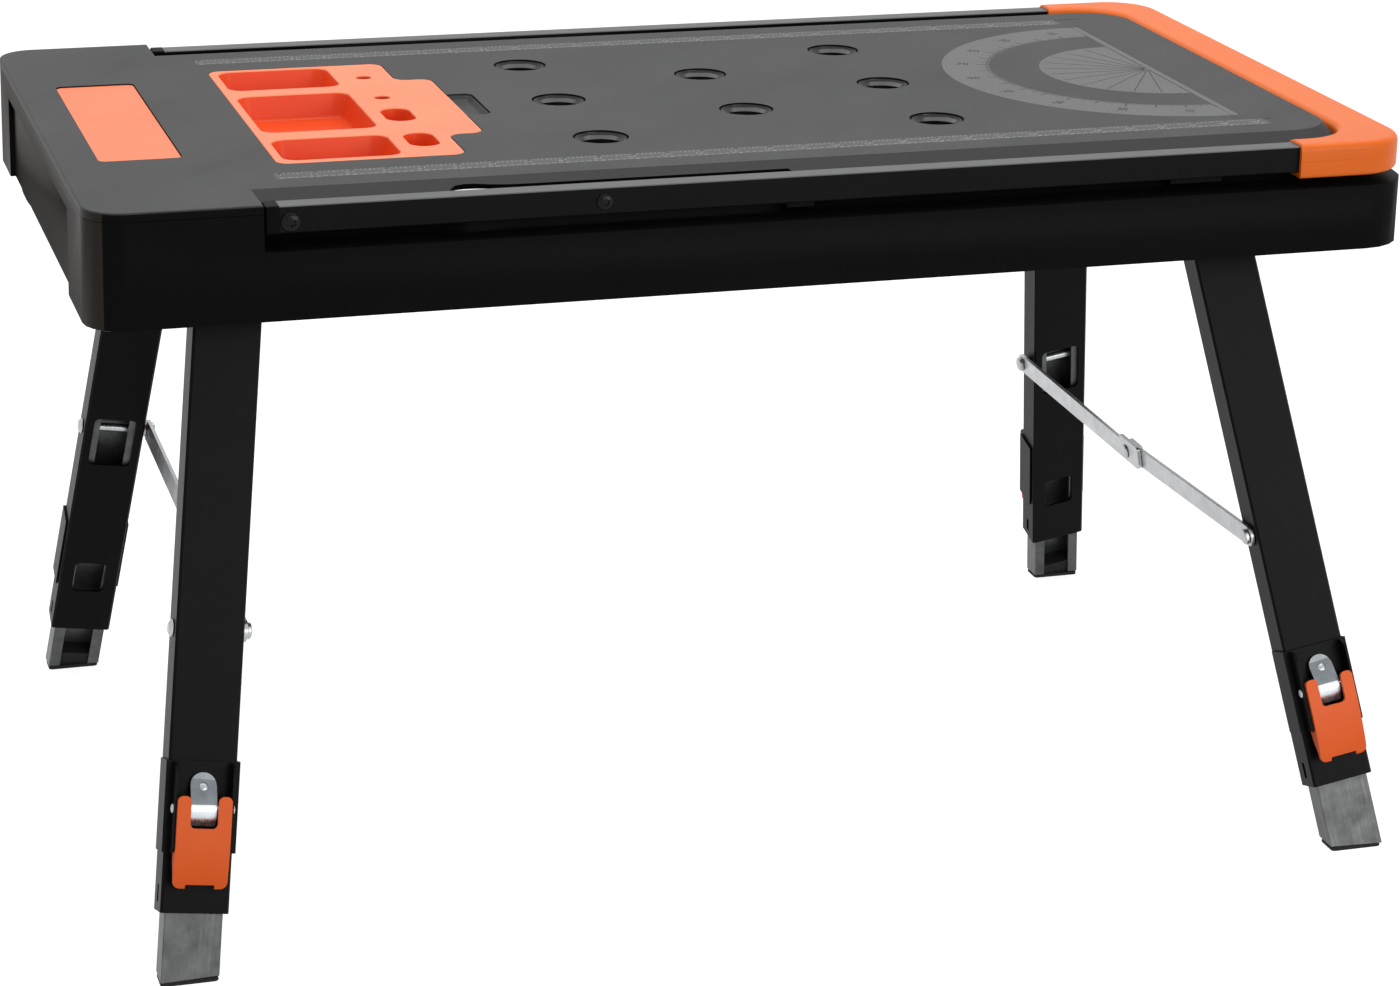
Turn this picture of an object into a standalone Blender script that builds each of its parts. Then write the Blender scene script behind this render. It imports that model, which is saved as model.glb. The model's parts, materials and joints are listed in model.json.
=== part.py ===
"""Mobile workbench: a flat work top on four folding, telescopic legs, with a pull-out handle and two wheels.

The origin is on the floor under the middle of the body. X runs along the length with the handle at +X,
Y runs across with the near side at -Y, and Z is up. The feet stand on z = 0.
"""

import math

import bmesh
import bpy
from mathutils import Matrix, Vector

MM = 0.001
GAP = 0.3 * MM
BORE_GAP = 0.3 * MM
OVERLAP = 1.0 * MM
CORNER_STEPS = 5
ROUND_STEPS = 20
SMALL_STEPS = 12

# Whole object
LENGTH = 976.3 * MM
HEAD_OVERHANG = 3.3 * MM
HEAD_DRAFT = 1.4 * MM
BODY_LENGTH = LENGTH - HEAD_OVERHANG
HALF_WIDTH = 262.5 * MM
TOP_Z = 540 * MM
LEFT_X = -LENGTH / 2 + HEAD_OVERHANG

# Top cover: head across the left end, then the work panel
HEAD_LENGTH = 117 * MM
HEAD_CORNER = 28 * MM
HEAD_EDGE = 1.5 * MM
COVER_THICKNESS = 6.5 * MM
PANEL_LIP = 0.5 * MM
PANEL_TOP_HALF = HALF_WIDTH - 45.5 * MM
PANEL_BOTTOM_HALF = HALF_WIDTH - 25.5 * MM
PANEL_TOP_END = BODY_LENGTH - 45 * MM
PANEL_BOTTOM_END = BODY_LENGTH - 42 * MM
PANEL_TOP_CORNER = 36 * MM
PANEL_BOTTOM_CORNER = 44 * MM
THUMB_X = (302 * MM, 328 * MM)
THUMB_HALF = 35 * MM
THUMB_DEPTH = 5.2 * MM

# Finger scallop in the sloping edge: distance from the left end, and inset from the side of the body
SCALLOP = (
    (249.5 * MM, 25.0 * MM),
    (251.5 * MM, 31.0 * MM),
    (256.0 * MM, 35.2 * MM),
    (262.0 * MM, 36.5 * MM),
    (270.0 * MM, 36.2 * MM),
    (281.0 * MM, 34.2 * MM),
    (293.0 * MM, 33.0 * MM),
    (310.0 * MM, 32.6 * MM),
    (496.0 * MM, 32.6 * MM),
    (500.0 * MM, 25.0 * MM),
)

# Dog holes, as distances from the left end and from the centre line
DOG_HOLES = (
    (387.7 * MM, 0.0),
    (387.7 * MM, 122.8 * MM),
    (387.7 * MM, -122.8 * MM),
    (516.7 * MM, 61.1 * MM),
    (516.7 * MM, -61.1 * MM),
    (645.9 * MM, 0.0),
    (645.9 * MM, 122.8 * MM),
    (645.9 * MM, -122.8 * MM),
)
DOG_RIM_RADIUS = 19.35 * MM
DOG_BORE_RADIUS = 16.5 * MM
DOG_TUBE_WALL = 2.5 * MM
DOG_DEPTH = 19.5 * MM

# Label plate
LABEL_X = (27.4 * MM, 85.6 * MM)
LABEL_Y = (-117 * MM, 124 * MM)
LABEL_CORNER = 5 * MM
LABEL_RECESS = 1.0 * MM
LABEL_THICKNESS = 1.2 * MM

# Tool tray
TRAY_X = (146.4 * MM, 309 * MM)
TRAY_STEP_X = 282 * MM
TRAY_HALF = 152 * MM
TONGUE_HALF = 91 * MM
TRAY_CORNER = 10 * MM
TRAY_RIM = 2.8 * MM
TRAY_RIM_OVERHANG = 3.0 * MM
TRAY_DEPTH = 21.5 * MM
POCKET_X = (153 * MM, 238 * MM)
POCKET_Y = ((81 * MM, 147 * MM), (-58 * MM, 61 * MM), (-143 * MM, -80 * MM))
POCKET_DEPTH = 19 * MM
POCKET_CORNER = 11 * MM
POCKET_DRAFT = 4 * MM
CUP_X = (249 * MM, 271 * MM)
CUP_Y = ((-42 * MM, 0.0), (-122 * MM, -80 * MM))
CUP_DEPTH = 16 * MM
CUP_DRAFT = 1.5 * MM
BIT_HOLES = ((260 * MM, 106 * MM), (260 * MM, 36 * MM))
BIT_HOLE_RADIUS = 5.85 * MM
BIT_HOLE_DEPTH = 14 * MM

# Body frame: depths below the top plane, and how far each level is set in at the sides and at the right end
BODY_BOTTOM = 81.5 * MM
BODY_CORNER = 38 * MM
BODY_LEVELS = (
    (81.5 * MM, 0.0, 0.0),
    (33.6 * MM, 0.0, 0.0),
    (32.6 * MM, 1.2 * MM, 1.2 * MM),
    (30.8 * MM, 10.5 * MM, 18.0 * MM),
    (28.8 * MM, 20.0 * MM, 36.0 * MM),
    (26.8 * MM, 23.6 * MM, 41.4 * MM),
    (24.0 * MM, 24.5 * MM, 42.0 * MM),
    (6.8 * MM, 24.5 * MM, 42.0 * MM),
)
CAVITY_LEVELS = (
    (90.0 * MM, 3.2 * MM, 3.2 * MM),
    (37.5 * MM, 3.2 * MM, 3.2 * MM),
    (35.4 * MM, 6.0 * MM, 6.0 * MM),
    (33.5 * MM, 15.0 * MM, 23.0 * MM),
    (31.5 * MM, 24.0 * MM, 40.5 * MM),
    (28.0 * MM, 27.5 * MM, 45.0 * MM),
    (5.0 * MM, 27.5 * MM, 45.0 * MM),
)
INNER_CORNER = 44 * MM
WALL = 3.2 * MM
END_WALL = 10 * MM
RECESS_Y = (-164 * MM, 181 * MM)
RECESS_TOP = (18.5 * MM, 21 * MM)
RECESS_DEPTH = 3.9 * MM
GRIP_X = (262 * MM, 484 * MM)
GRIP_BOTTOM = 27 * MM
LUGS_X = ((487 * MM, 507 * MM), (BODY_LENGTH - 195 * MM, BODY_LENGTH - 155 * MM))
LUG_BOTTOM = 25 * MM
LUG_REACH = HALF_WIDTH - 5.5 * MM

# Rails and handle
RAIL_X = (121 * MM, BODY_LENGTH - 47 * MM)
RAIL_Y = (HALF_WIDTH - 19.9 * MM, HALF_WIDTH - 3.2 * MM)
RAIL_DEPTHS = (2.3 * MM, 21.6 * MM)
RAIL_CHAMFER = 1.0 * MM
SLEEVE_X = BODY_LENGTH - 95 * MM
HANDLE_INNER_X = BODY_LENGTH - 41 * MM
HANDLE_END_X = BODY_LENGTH - 3 * MM
HANDLE_HALF = HALF_WIDTH + 0.5 * MM
HANDLE_INNER_HALF = HALF_WIDTH - 23.3 * MM
HANDLE_CORNER = 40 * MM
HANDLE_INNER_CORNER = 42 * MM
HANDLE_LEVELS = (
    (26.0 * MM, 2.0 * MM),
    (24.0 * MM, 0.0),
    (5.0 * MM, 0.0),
    (1.6 * MM, 1.4 * MM),
    (0.3 * MM, 4.4 * MM),
)
RAIL_SCREWS = ((135.5 * MM, 13.4 * MM, 6.75 * MM), (354.2 * MM, 12.3 * MM, 5.75 * MM))
SCREW_HEAD = 2.6 * MM
SCREW_SHANK_RADIUS = 2.5 * MM
SCREW_SHANK = 6.0 * MM

# Wheels
WHEEL_X = 23.7 * MM
WHEEL_DEPTH = 87 * MM
WHEEL_RADIUS = 20 * MM
WHEEL_WIDTH = 22 * MM
WHEEL_Y = HALF_WIDTH - 96.5 * MM
AXLE_RADIUS = 3.0 * MM
HUB_RADIUS = 7 * MM
DISC_RADII = (8.5 * MM, 13 * MM)
TYRE_SHOULDER = 15.5 * MM
AXLE_HALF = WHEEL_Y + 19 * MM
CHEEK = 4.0 * MM
CHEEK_SIDE_GAP = 1.0 * MM
CHEEK_TOP = 46 * MM
CHEEK_BOTTOM = 96 * MM
CHEEK_REACH = 33 * MM
CHEEK_CORNER = 9 * MM
WHEEL_NOTCH_TOP = 70 * MM
WHEEL_NOTCH_X = WHEEL_X - WHEEL_RADIUS - 1 * MM

# Leg ends: pivot point, spacing, tilt along the length, splay across, and how far the folded legs close
PIVOT_DEPTH = 56 * MM
STAY_DISTANCE = 268 * MM
STAY_SAG = 6 * MM
LEFT_END = {
    "name": "left",
    "pivot_x": 109.9 * MM,
    "toward": 1,
    "pivot_y": HALF_WIDTH - 106.6 * MM,
    "tilt": math.atan(0.142),
    "splay": math.radians(17.53),
}
RIGHT_END = {
    "name": "right",
    "pivot_x": BODY_LENGTH - 120.4 * MM,
    "toward": -1,
    "pivot_y": HALF_WIDTH - 114 * MM,
    "tilt": math.atan(0.169),
    "splay": math.radians(18.48),
}

# Outer tube, measured down the leg from its pivot
TUBE_U = 24.15 * MM
TUBE_V = 13.15 * MM
TUBE_WALL = 2.0 * MM
TUBE_CHAMFER = 1.6 * MM
TUBE_END = 465.5 * MM
TUBE_CAVITY_START = 24 * MM
UPPER_WINDOW = (STAY_DISTANCE - 16 * MM, STAY_DISTANCE + 29 * MM, 17 * MM)
LOWER_WINDOW = (397 * MM, 426 * MM, 13 * MM)
SIDE_SLOT = (447 * MM, 459 * MM, 2.2 * MM)
PIN_RADIUS = 5.0 * MM

# Inner leg
INNER_U = 20.5 * MM
INNER_V = 10.0 * MM
INNER_WALL = 2.0 * MM
INNER_LIP = 9.0 * MM
INNER_START = 232 * MM
INNER_SLOT_END = 320 * MM
INNER_SLOT_HALF = 4.2 * MM
INNER_HOLE = (258 * MM, 6.0 * MM)
FLOOR_ALLOWANCE = 45 * MM
FOOT_PLUG = 17 * MM
SOLE_THICKNESS = 3.0 * MM
SOLE_U = 20.5 * MM
SOLE_V = 10.6 * MM
SOLE_CORNER = 3 * MM

# Height latch
BRACKET = (359 * MM, 423 * MM)
BRACKET_PLATE = 1.5 * MM
BRACKET_WRAP_V = -8 * MM
FLANGE_U = 20.7 * MM
FLANGE_TIP_V = 27 * MM
LATCH_AXIS_V = 21 * MM
LATCH_AXIS_T = 392 * MM
LATCH_AXLE_RADIUS = 2.4 * MM
FLANGE_CORNER = 8.0 * MM
LEVER_BACK = 5.1 * MM
LATCH_HEAD_RADIUS = 3.9 * MM
LATCH_HEAD = 1.8 * MM
LEVER_U = FLANGE_U - BRACKET_PLATE - GAP
LEVER_CHEEK = 1.3 * MM
LEVER_FACE_V = (27.5 * MM, 30.1 * MM)
LEVER_TOP = 382.5 * MM
LEVER_END = 447 * MM
LEVER_SLOT = (405 * MM, 9.75 * MM)
LEVER_NOTCH = (4 * MM, 9.5 * MM)
STRAP_T = (367 * MM, 405 * MM)
STRAP_HALF = 9.5 * MM
STRAP_THICKNESS = 1.5 * MM
STRAP_RIVET_T = 377 * MM
STRAP_RIVET = (4.5 * MM, 1.5 * MM)
PAD_RADIUS = 4.0 * MM

# Stays
LINK_THICKNESS = 3.0 * MM
LINK_HALF = 8.0 * MM
LINK_STEPS = 8
STAY_BOLT_RADIUS = 3.5 * MM
STAY_NUT_RADIUS = 6.0 * MM
STAY_HEAD_RADIUS = 6.5 * MM
STAY_HEAD = 3.0 * MM
STAY_NUT = 3.5 * MM
STOP_PLATE = (26 * MM, 12 * MM)
STOP_FLANGE = (24 * MM, 3 * MM)
STOP_FLANGE_THICKNESS = 1.8 * MM
CENTRE_RIVET = (3.0 * MM, 6.0 * MM, 2.0 * MM)

# Hinge beams, in the frame of the beam
BEAM_PLATE = 3.0 * MM
BEAM_CLEVIS_HALF = 16 * MM
BEAM_CLEVIS_BOTTOM = 27 * MM
BEAM_FLANGE_BOTTOM = 4 * MM
BEAM_END_BOTTOM = 9 * MM
BEAM_END = 17 * MM
JOURNAL_RADIUS = 8.0 * MM
JOURNAL_LENGTH = 15 * MM
SADDLE_HALF = 13 * MM
PIN_HEAD = (7.0 * MM, 1.7 * MM)
PIN_TAIL = (6.5 * MM, 1.3 * MM)

# Finishes: base colour, metallic, roughness
BLACK_PLASTIC = ((0.018, 0.019, 0.020), 0.0, 0.50)
BLACK_STEEL = ((0.012, 0.012, 0.013), 0.1, 0.42)
ORANGE_PLASTIC = ((0.78, 0.13, 0.03), 0.0, 0.45)
SALMON_PLASTIC = ((0.95, 0.33, 0.15), 0.0, 0.50)
SILVER_STEEL = ((0.55, 0.56, 0.57), 1.0, 0.35)
RUBBER = ((0.02, 0.02, 0.02), 0.0, 0.80)


def along(distance):
    """World x of a distance from the left end."""
    return LEFT_X + distance


def below(depth):
    """World z of a depth below the top plane."""
    return TOP_Z - depth


def head_x(depth):
    """World x of the drafted left end face at a depth below the top plane."""
    return along(-HEAD_OVERHANG + HEAD_DRAFT * (BODY_BOTTOM - depth) / (BODY_BOTTOM - HEAD_EDGE))


def clear_scene():
    """Removes whatever the scene starts with."""
    for found in list(bpy.data.objects):
        bpy.data.objects.remove(found, do_unlink=True)


def rounded(x0, x1, y0, y1, radii, steps=CORNER_STEPS):
    """Rectangle outline, anticlockwise, with one radius per corner from (x0, y0)."""
    signs = ((1, 1), (-1, 1), (-1, -1), (1, -1))
    corners = ((x0, y0), (x1, y0), (x1, y1), (x0, y1))
    outline = []
    for index, ((cx, cy), (sx, sy), radius) in enumerate(zip(corners, signs, radii)):
        for step in range(steps + 1):
            angle = math.radians(180 + 90 * index + 90 * step / steps)
            outline.append((cx + sx * radius + radius * math.cos(angle), cy + sy * radius + radius * math.sin(angle)))
    return outline


def box_outline(x0, x1, y0, y1):
    """Plain rectangle outline."""
    return [(x0, y0), (x1, y0), (x1, y1), (x0, y1)]


def arc(centre, radius, start, end, steps):
    """Points of an arc, in degrees."""
    angles = (math.radians(start + (end - start) * step / steps) for step in range(steps + 1))
    return [(centre[0] + radius * math.cos(angle), centre[1] + radius * math.sin(angle)) for angle in angles]


def level(outline, height):
    """Outline in x and y at one height."""
    return [(x, y, height) for x, y in outline]


def across(outline, u):
    """Outline in v and w at one u."""
    return [(u, v, w) for v, w in outline]


def slab(outline, y):
    """Outline in x and z at one y."""
    return [(x, y, z) for x, z in outline]


def from_faces(points, faces):
    """Closed mesh object with its faces turned outwards."""
    mesh = bpy.data.meshes.new("piece")
    work = bmesh.new()
    made = [work.verts.new(point) for point in points]
    for face in faces:
        work.faces.new([made[index] for index in face])
    bmesh.ops.remove_doubles(work, verts=work.verts, dist=1e-7)
    bmesh.ops.recalc_face_normals(work, faces=work.faces)
    work.to_mesh(mesh)
    work.free()
    piece = bpy.data.objects.new("piece", mesh)
    bpy.context.scene.collection.objects.link(piece)
    return piece


def loft(loops):
    """Solid through loops of equal length, closed at both ends."""
    count = len(loops[0])
    points = [point for loop in loops for point in loop]
    faces = [list(range(count))[::-1], [count * (len(loops) - 1) + index for index in range(count)]]
    for row in range(len(loops) - 1):
        for index in range(count):
            after = (index + 1) % count
            faces.append(
                [row * count + index, row * count + after, (row + 1) * count + after, (row + 1) * count + index]
            )
    return from_faces(points, faces)


def turned(profile, centre, axis, steps=SMALL_STEPS, ring=False):
    """Turned solid: the profile holds (distance along the axis, radius), from one end to the other."""
    axes = {"x": (1, 2, 0), "y": (2, 0, 1), "z": (0, 1, 2)}[axis]
    points = []
    for distance, radius in profile:
        for step in range(steps):
            angle = 2 * math.pi * step / steps
            local = (radius * math.cos(angle), radius * math.sin(angle), distance)
            point = [0.0, 0.0, 0.0]
            for place, value in zip(axes, local):
                point[place] = centre[place] + value
            points.append(point)
    rows = len(profile)
    faces = []
    for row in range(rows if ring else rows - 1):
        below_row = (row + 1) % rows
        for step in range(steps):
            after = (step + 1) % steps
            faces.append(
                [row * steps + step, row * steps + after, below_row * steps + after, below_row * steps + step]
            )
    if not ring:
        faces.append(list(range(steps))[::-1])
        faces.append([steps * (rows - 1) + step for step in range(steps)])
    return from_faces(points, faces)


def rod(start, end, radius, centre, axis, steps=SMALL_STEPS):
    """Plain round rod along one axis."""
    return turned(((start, radius), (end, radius)), centre, axis, steps)


def box(x, y, z):
    """Box from three ranges."""
    return loft([level(box_outline(x[0], x[1], y[0], y[1]), height) for height in z])


def combine(base, tools, operation):
    """Applies one exact Boolean per tool and removes the tools."""
    for tool in tools:
        step = base.modifiers.new("step", "BOOLEAN")
        step.solver = "EXACT"
        step.operation = operation
        step.object = tool
        graph = bpy.context.evaluated_depsgraph_get()
        result = bpy.data.meshes.new_from_object(base.evaluated_get(graph))
        base.modifiers.clear()
        base.data = result
        bpy.data.objects.remove(tool, do_unlink=True)
    return base


def join(base, *tools):
    """Union of solids."""
    return combine(base, tools, "UNION")


def cut(base, *tools):
    """Solid less the tools."""
    return combine(base, tools, "DIFFERENCE")


def place(piece, matrix):
    """Moves the mesh itself into the world and turns its faces outwards."""
    piece.data.transform(matrix)
    if matrix.determinant() < 0:
        piece.data.flip_normals()
    return piece


def finish(piece, name, finish_values, origin, smooth=True):
    """Names a piece, gives it a material of its own and sets its origin."""
    colour, metallic, roughness = finish_values
    surface = bpy.data.materials.new("mat_" + name)
    surface.use_nodes = True
    shader = surface.node_tree.nodes["Principled BSDF"]
    shader.inputs["Base Color"].default_value = (*colour, 1.0)
    shader.inputs["Metallic"].default_value = metallic
    shader.inputs["Roughness"].default_value = roughness
    work = bmesh.new()
    work.from_mesh(piece.data)
    bmesh.ops.remove_doubles(work, verts=work.verts, dist=2e-6)
    bmesh.ops.dissolve_degenerate(work, edges=work.edges, dist=1e-6)
    work.to_mesh(piece.data)
    work.free()
    piece.name = name
    piece.data.name = name
    piece.data.materials.clear()
    piece.data.materials.append(surface)
    piece.data.transform(Matrix.Translation(-Vector(origin)))
    piece.location = origin
    if smooth:
        piece.data.shade_smooth()
        piece.data.set_sharp_from_angle(angle=math.radians(32))
    else:
        piece.data.shade_flat()
    return piece


def deck_outline(side_inset, end_inset, corner, end_x, half, head):
    """Head box at the left joined to a narrower or equal deck at the right; head is x0, x1, half width, corner."""
    head_x0, head_x1, head_half, head_corner = head
    left = rounded(head_x0, head_x1, -head_half, head_half, (head_corner, 0.0, 0.0, head_corner))
    steps = CORNER_STEPS + 1
    deck_half = half - side_inset
    deck = rounded(head_x1, end_x - end_inset, -deck_half, deck_half, (0.0, corner, corner, 0.0))
    outline = left[:steps]
    outline.append((head_x1, -head_half))
    outline.append((head_x1, -deck_half))
    outline.extend(deck[steps : 3 * steps])
    outline.append((head_x1, deck_half))
    outline.append((head_x1, head_half))
    outline.extend(left[3 * steps :])
    return outline


def tray_outline(grow):
    """Plan of the tool tray, with its tongue toward the handle."""
    x0, x1 = along(TRAY_X[0]) - grow, along(TRAY_X[1]) + grow
    step_x = along(TRAY_STEP_X) + grow
    half, tongue = TRAY_HALF + grow, TONGUE_HALF + grow
    corner = TRAY_CORNER + grow
    notch = TRAY_CORNER - grow
    outline = arc((x0 + corner, -half + corner), corner, 180, 270, CORNER_STEPS)
    outline += arc((step_x - corner, -half + corner), corner, 270, 360, CORNER_STEPS)
    outline += arc((step_x + notch, -tongue - notch), notch, 180, 90, CORNER_STEPS)
    outline += arc((x1 - corner, -tongue + corner), corner, 270, 360, CORNER_STEPS)
    outline += arc((x1 - corner, tongue - corner), corner, 0, 90, CORNER_STEPS)
    outline += arc((step_x + notch, tongue + notch), notch, 270, 180, CORNER_STEPS)
    outline += arc((step_x - corner, half - corner), corner, 0, 90, CORNER_STEPS)
    outline += arc((x0 + corner, half - corner), corner, 90, 180, CORNER_STEPS)
    return outline


def drafted_pocket(x, y, depth, corner, draft):
    """Cutter for a pocket that narrows downwards."""
    top = rounded(along(x[0]), along(x[1]), y[0], y[1], (corner,) * 4)
    low = rounded(along(x[0]) + draft, along(x[1]) - draft, y[0] + draft, y[1] - draft, (corner - draft * 0.8,) * 4)
    return loft([level(low, below(depth)), level(top, below(0.0)), level(top, below(-OVERLAP))])


def build_top_cover():
    """Head skin and work panel in one, with the dog holes, the tray opening and the label recess."""

    def loop(depth, head_inset, half, end, corner):
        head = (
            head_x(max(depth, HEAD_EDGE)) + head_inset,
            along(HEAD_LENGTH - head_inset),
            HALF_WIDTH - head_inset,
            HEAD_CORNER - head_inset,
        )
        return level(deck_outline(0.0, 0.0, corner, along(end), half, head), below(depth))

    run = HEAD_EDGE / (COVER_THICKNESS - PANEL_LIP)
    middle_half = PANEL_TOP_HALF + (PANEL_BOTTOM_HALF - PANEL_TOP_HALF) * run
    middle_end = PANEL_TOP_END + (PANEL_BOTTOM_END - PANEL_TOP_END) * run
    middle_corner = PANEL_TOP_CORNER + (PANEL_BOTTOM_CORNER - PANEL_TOP_CORNER) * run
    cover = loft(
        [
            loop(COVER_THICKNESS, 0.0, PANEL_BOTTOM_HALF, PANEL_BOTTOM_END, PANEL_BOTTOM_CORNER),
            loop(COVER_THICKNESS - PANEL_LIP, 0.0, PANEL_BOTTOM_HALF, PANEL_BOTTOM_END, PANEL_BOTTOM_CORNER),
            loop(HEAD_EDGE, 0.0, middle_half, middle_end, middle_corner),
            loop(0.0, HEAD_EDGE, PANEL_TOP_HALF, PANEL_TOP_END, PANEL_TOP_CORNER),
        ]
    )
    tube_radius = DOG_BORE_RADIUS + DOG_TUBE_WALL
    for x, y in DOG_HOLES:
        centre = (along(x), y, 0.0)
        join(cover, rod(below(DOG_DEPTH), below(COVER_THICKNESS / 2), tube_radius, centre, "z", ROUND_STEPS))
    lip = DOG_RIM_RADIUS - DOG_BORE_RADIUS
    for x, y in DOG_HOLES:
        profile = (
            (below(DOG_DEPTH + OVERLAP), DOG_BORE_RADIUS),
            (below(lip), DOG_BORE_RADIUS),
            (below(lip * 0.5), DOG_BORE_RADIUS + lip * 0.134),
            (below(lip * 0.134), DOG_BORE_RADIUS + lip * 0.5),
            (below(0.0), DOG_RIM_RADIUS),
            (below(-OVERLAP), DOG_RIM_RADIUS),
        )
        cut(cover, turned(profile, (along(x), y, 0.0), "z", ROUND_STEPS))
    ledge = TRAY_RIM + GAP
    cut(cover, loft([level(tray_outline(GAP), below(depth)) for depth in (ledge, -OVERLAP)]))
    through = tray_outline(GAP - TRAY_RIM_OVERHANG)
    cut(cover, loft([level(through, below(depth)) for depth in (COVER_THICKNESS + OVERLAP, ledge - OVERLAP)]))
    label = rounded(
        along(LABEL_X[0]) - GAP, along(LABEL_X[1]) + GAP, LABEL_Y[0] - GAP, LABEL_Y[1] + GAP, (LABEL_CORNER + GAP,) * 4
    )
    floor = LABEL_RECESS + LABEL_THICKNESS + GAP
    cut(cover, loft([level(label, below(depth)) for depth in (floor, -OVERLAP)]))
    for side in (-1, 1):
        scallop = [(along(x), side * (HALF_WIDTH - inset)) for x, inset in SCALLOP]
        scallop += [(along(SCALLOP[-1][0]), side * HALF_WIDTH), (along(SCALLOP[0][0]), side * HALF_WIDTH)]
        cut(cover, loft([level(scallop, below(depth)) for depth in (COVER_THICKNESS + OVERLAP, -OVERLAP)]))
    rows = []
    for share in (1.0, 0.85, 0.5, 0.0):
        spread = 1.0 - 0.45 * share**3
        thumb = rounded(
            along(THUMB_X[0]), along(THUMB_X[0] + (THUMB_X[1] - THUMB_X[0]) * spread),
            -THUMB_HALF * spread, THUMB_HALF * spread, (1.0 * MM, 7 * MM * spread, 7 * MM * spread, 1.0 * MM),
        )
        rows.append(level(thumb, below(THUMB_DEPTH * share)))
    rows.append([(x, y, below(-OVERLAP)) for x, y, z in rows[-1]])
    cut(cover, loft(rows))
    finish(cover, "top_cover", BLACK_PLASTIC, (0.0, 0.0, below(0.0)))


def build_body_frame():
    """Housing open at the top and at the bottom, with grips, rail lugs, wheel cheeks and beam saddles."""
    inner_head = (along(END_WALL), along(HEAD_LENGTH - WALL), HALF_WIDTH - WALL, HEAD_CORNER - END_WALL)
    share = [inset / BODY_LEVELS[-1][1] for depth, inset, end in BODY_LEVELS]
    outer = []
    for (depth, inset, end), part in zip(BODY_LEVELS, share):
        corner = BODY_CORNER + (INNER_CORNER - BODY_CORNER) * part
        outer_head = (head_x(depth), along(HEAD_LENGTH), HALF_WIDTH, HEAD_CORNER)
        outer.append(
            level(deck_outline(inset, end, corner, along(BODY_LENGTH), HALF_WIDTH, outer_head), below(depth))
        )
    body = loft(outer)
    inner = []
    for depth, inset, end in CAVITY_LEVELS:
        corner = BODY_CORNER - WALL + (INNER_CORNER - BODY_CORNER) * inset / CAVITY_LEVELS[-1][1]
        inner.append(
            level(deck_outline(inset, end, corner, along(BODY_LENGTH), HALF_WIDTH, inner_head), below(depth))
        )
    cut(body, loft(inner))
    for end in (LEFT_END, RIGHT_END):
        for side in (-1, 1):
            y = sorted((side * (end["pivot_y"] + BEAM_END + BEAM_PLATE + GAP), side * (HALF_WIDTH - WALL / 2)))
            x = (along(end["pivot_x"]) - SADDLE_HALF, along(end["pivot_x"]) + SADDLE_HALF)
            join(body, box(x, y, (below(PIVOT_DEPTH + SADDLE_HALF), below(PIVOT_DEPTH - SADDLE_HALF))))
            tip = side * (end["pivot_y"] + BEAM_END + BEAM_PLATE + JOURNAL_LENGTH + GAP)
            start = side * (end["pivot_y"] + BEAM_END)
            centre = (along(end["pivot_x"]), 0.0, below(PIVOT_DEPTH))
            cut(body, rod(start, tip, JOURNAL_RADIUS + BORE_GAP, centre, "y", ROUND_STEPS))
    for side in (-1, 1):
        for offset in (-1, 1):
            face = WHEEL_Y + offset * (WHEEL_WIDTH / 2 + CHEEK_SIDE_GAP)
            y = sorted((side * face, side * (face + offset * CHEEK)))
            plate = rounded(
                along(END_WALL - OVERLAP), along(CHEEK_REACH), below(CHEEK_BOTTOM), below(CHEEK_TOP),
                (6 * MM, CHEEK_CORNER, 0.5 * MM, 0.5 * MM),
            )
            join(body, loft([slab(plate, value) for value in y]))
    axle_y = AXLE_HALF + GAP
    centre = (along(WHEEL_X), 0.0, below(WHEEL_DEPTH))
    cut(body, rod(-axle_y, axle_y, AXLE_RADIUS + BORE_GAP, centre, "y", SMALL_STEPS))
    recess = [
        [(head_x(depth) + step, y, below(depth)) for y, depth in box_outline(*RECESS_Y, BODY_BOTTOM + HEAD_CORNER, top)]
        for step, top in ((-HEAD_OVERHANG, RECESS_TOP[0]), (RECESS_DEPTH, RECESS_TOP[1]))
    ]
    cut(body, loft(recess))
    for side in (-1, 1):
        half = WHEEL_WIDTH / 2 + CHEEK_SIDE_GAP
        y = sorted((side * WHEEL_Y - half, side * WHEEL_Y + half))
        z = (below(BODY_BOTTOM + HEAD_CORNER), below(WHEEL_NOTCH_TOP))
        cut(body, box((along(WHEEL_NOTCH_X), along(END_WALL + OVERLAP)), y, z))
    for side in (-1, 1):
        inner_half = HALF_WIDTH - BODY_LEVELS[-1][1]
        y = sorted((side * (inner_half - 2 * WALL), side * (inner_half + OVERLAP)))
        x = (along(GRIP_X[0]), along(GRIP_X[1]))
        cut(body, box(x, y, (below(GRIP_BOTTOM - OVERLAP), below(0.0))))
        for lug in LUGS_X:
            y = sorted((side * (inner_half - WALL / 2), side * LUG_REACH))
            join(body, box((along(lug[0]), along(lug[1])), y, (below(LUG_BOTTOM), below(RAIL_DEPTHS[1] + GAP))))
    finish(body, "body_frame", BLACK_PLASTIC, (0.0, 0.0, below(BODY_BOTTOM)))


def build_label_plate():
    """Plain inlay in the head."""
    outline = rounded(along(LABEL_X[0]), along(LABEL_X[1]), LABEL_Y[0], LABEL_Y[1], (LABEL_CORNER,) * 4)
    plate = loft([level(outline, below(depth)) for depth in (LABEL_RECESS + LABEL_THICKNESS, LABEL_RECESS)])
    finish(plate, "label_plate", SALMON_PLASTIC, (along(sum(LABEL_X) / 2), sum(LABEL_Y) / 2, below(LABEL_RECESS)))


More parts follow.
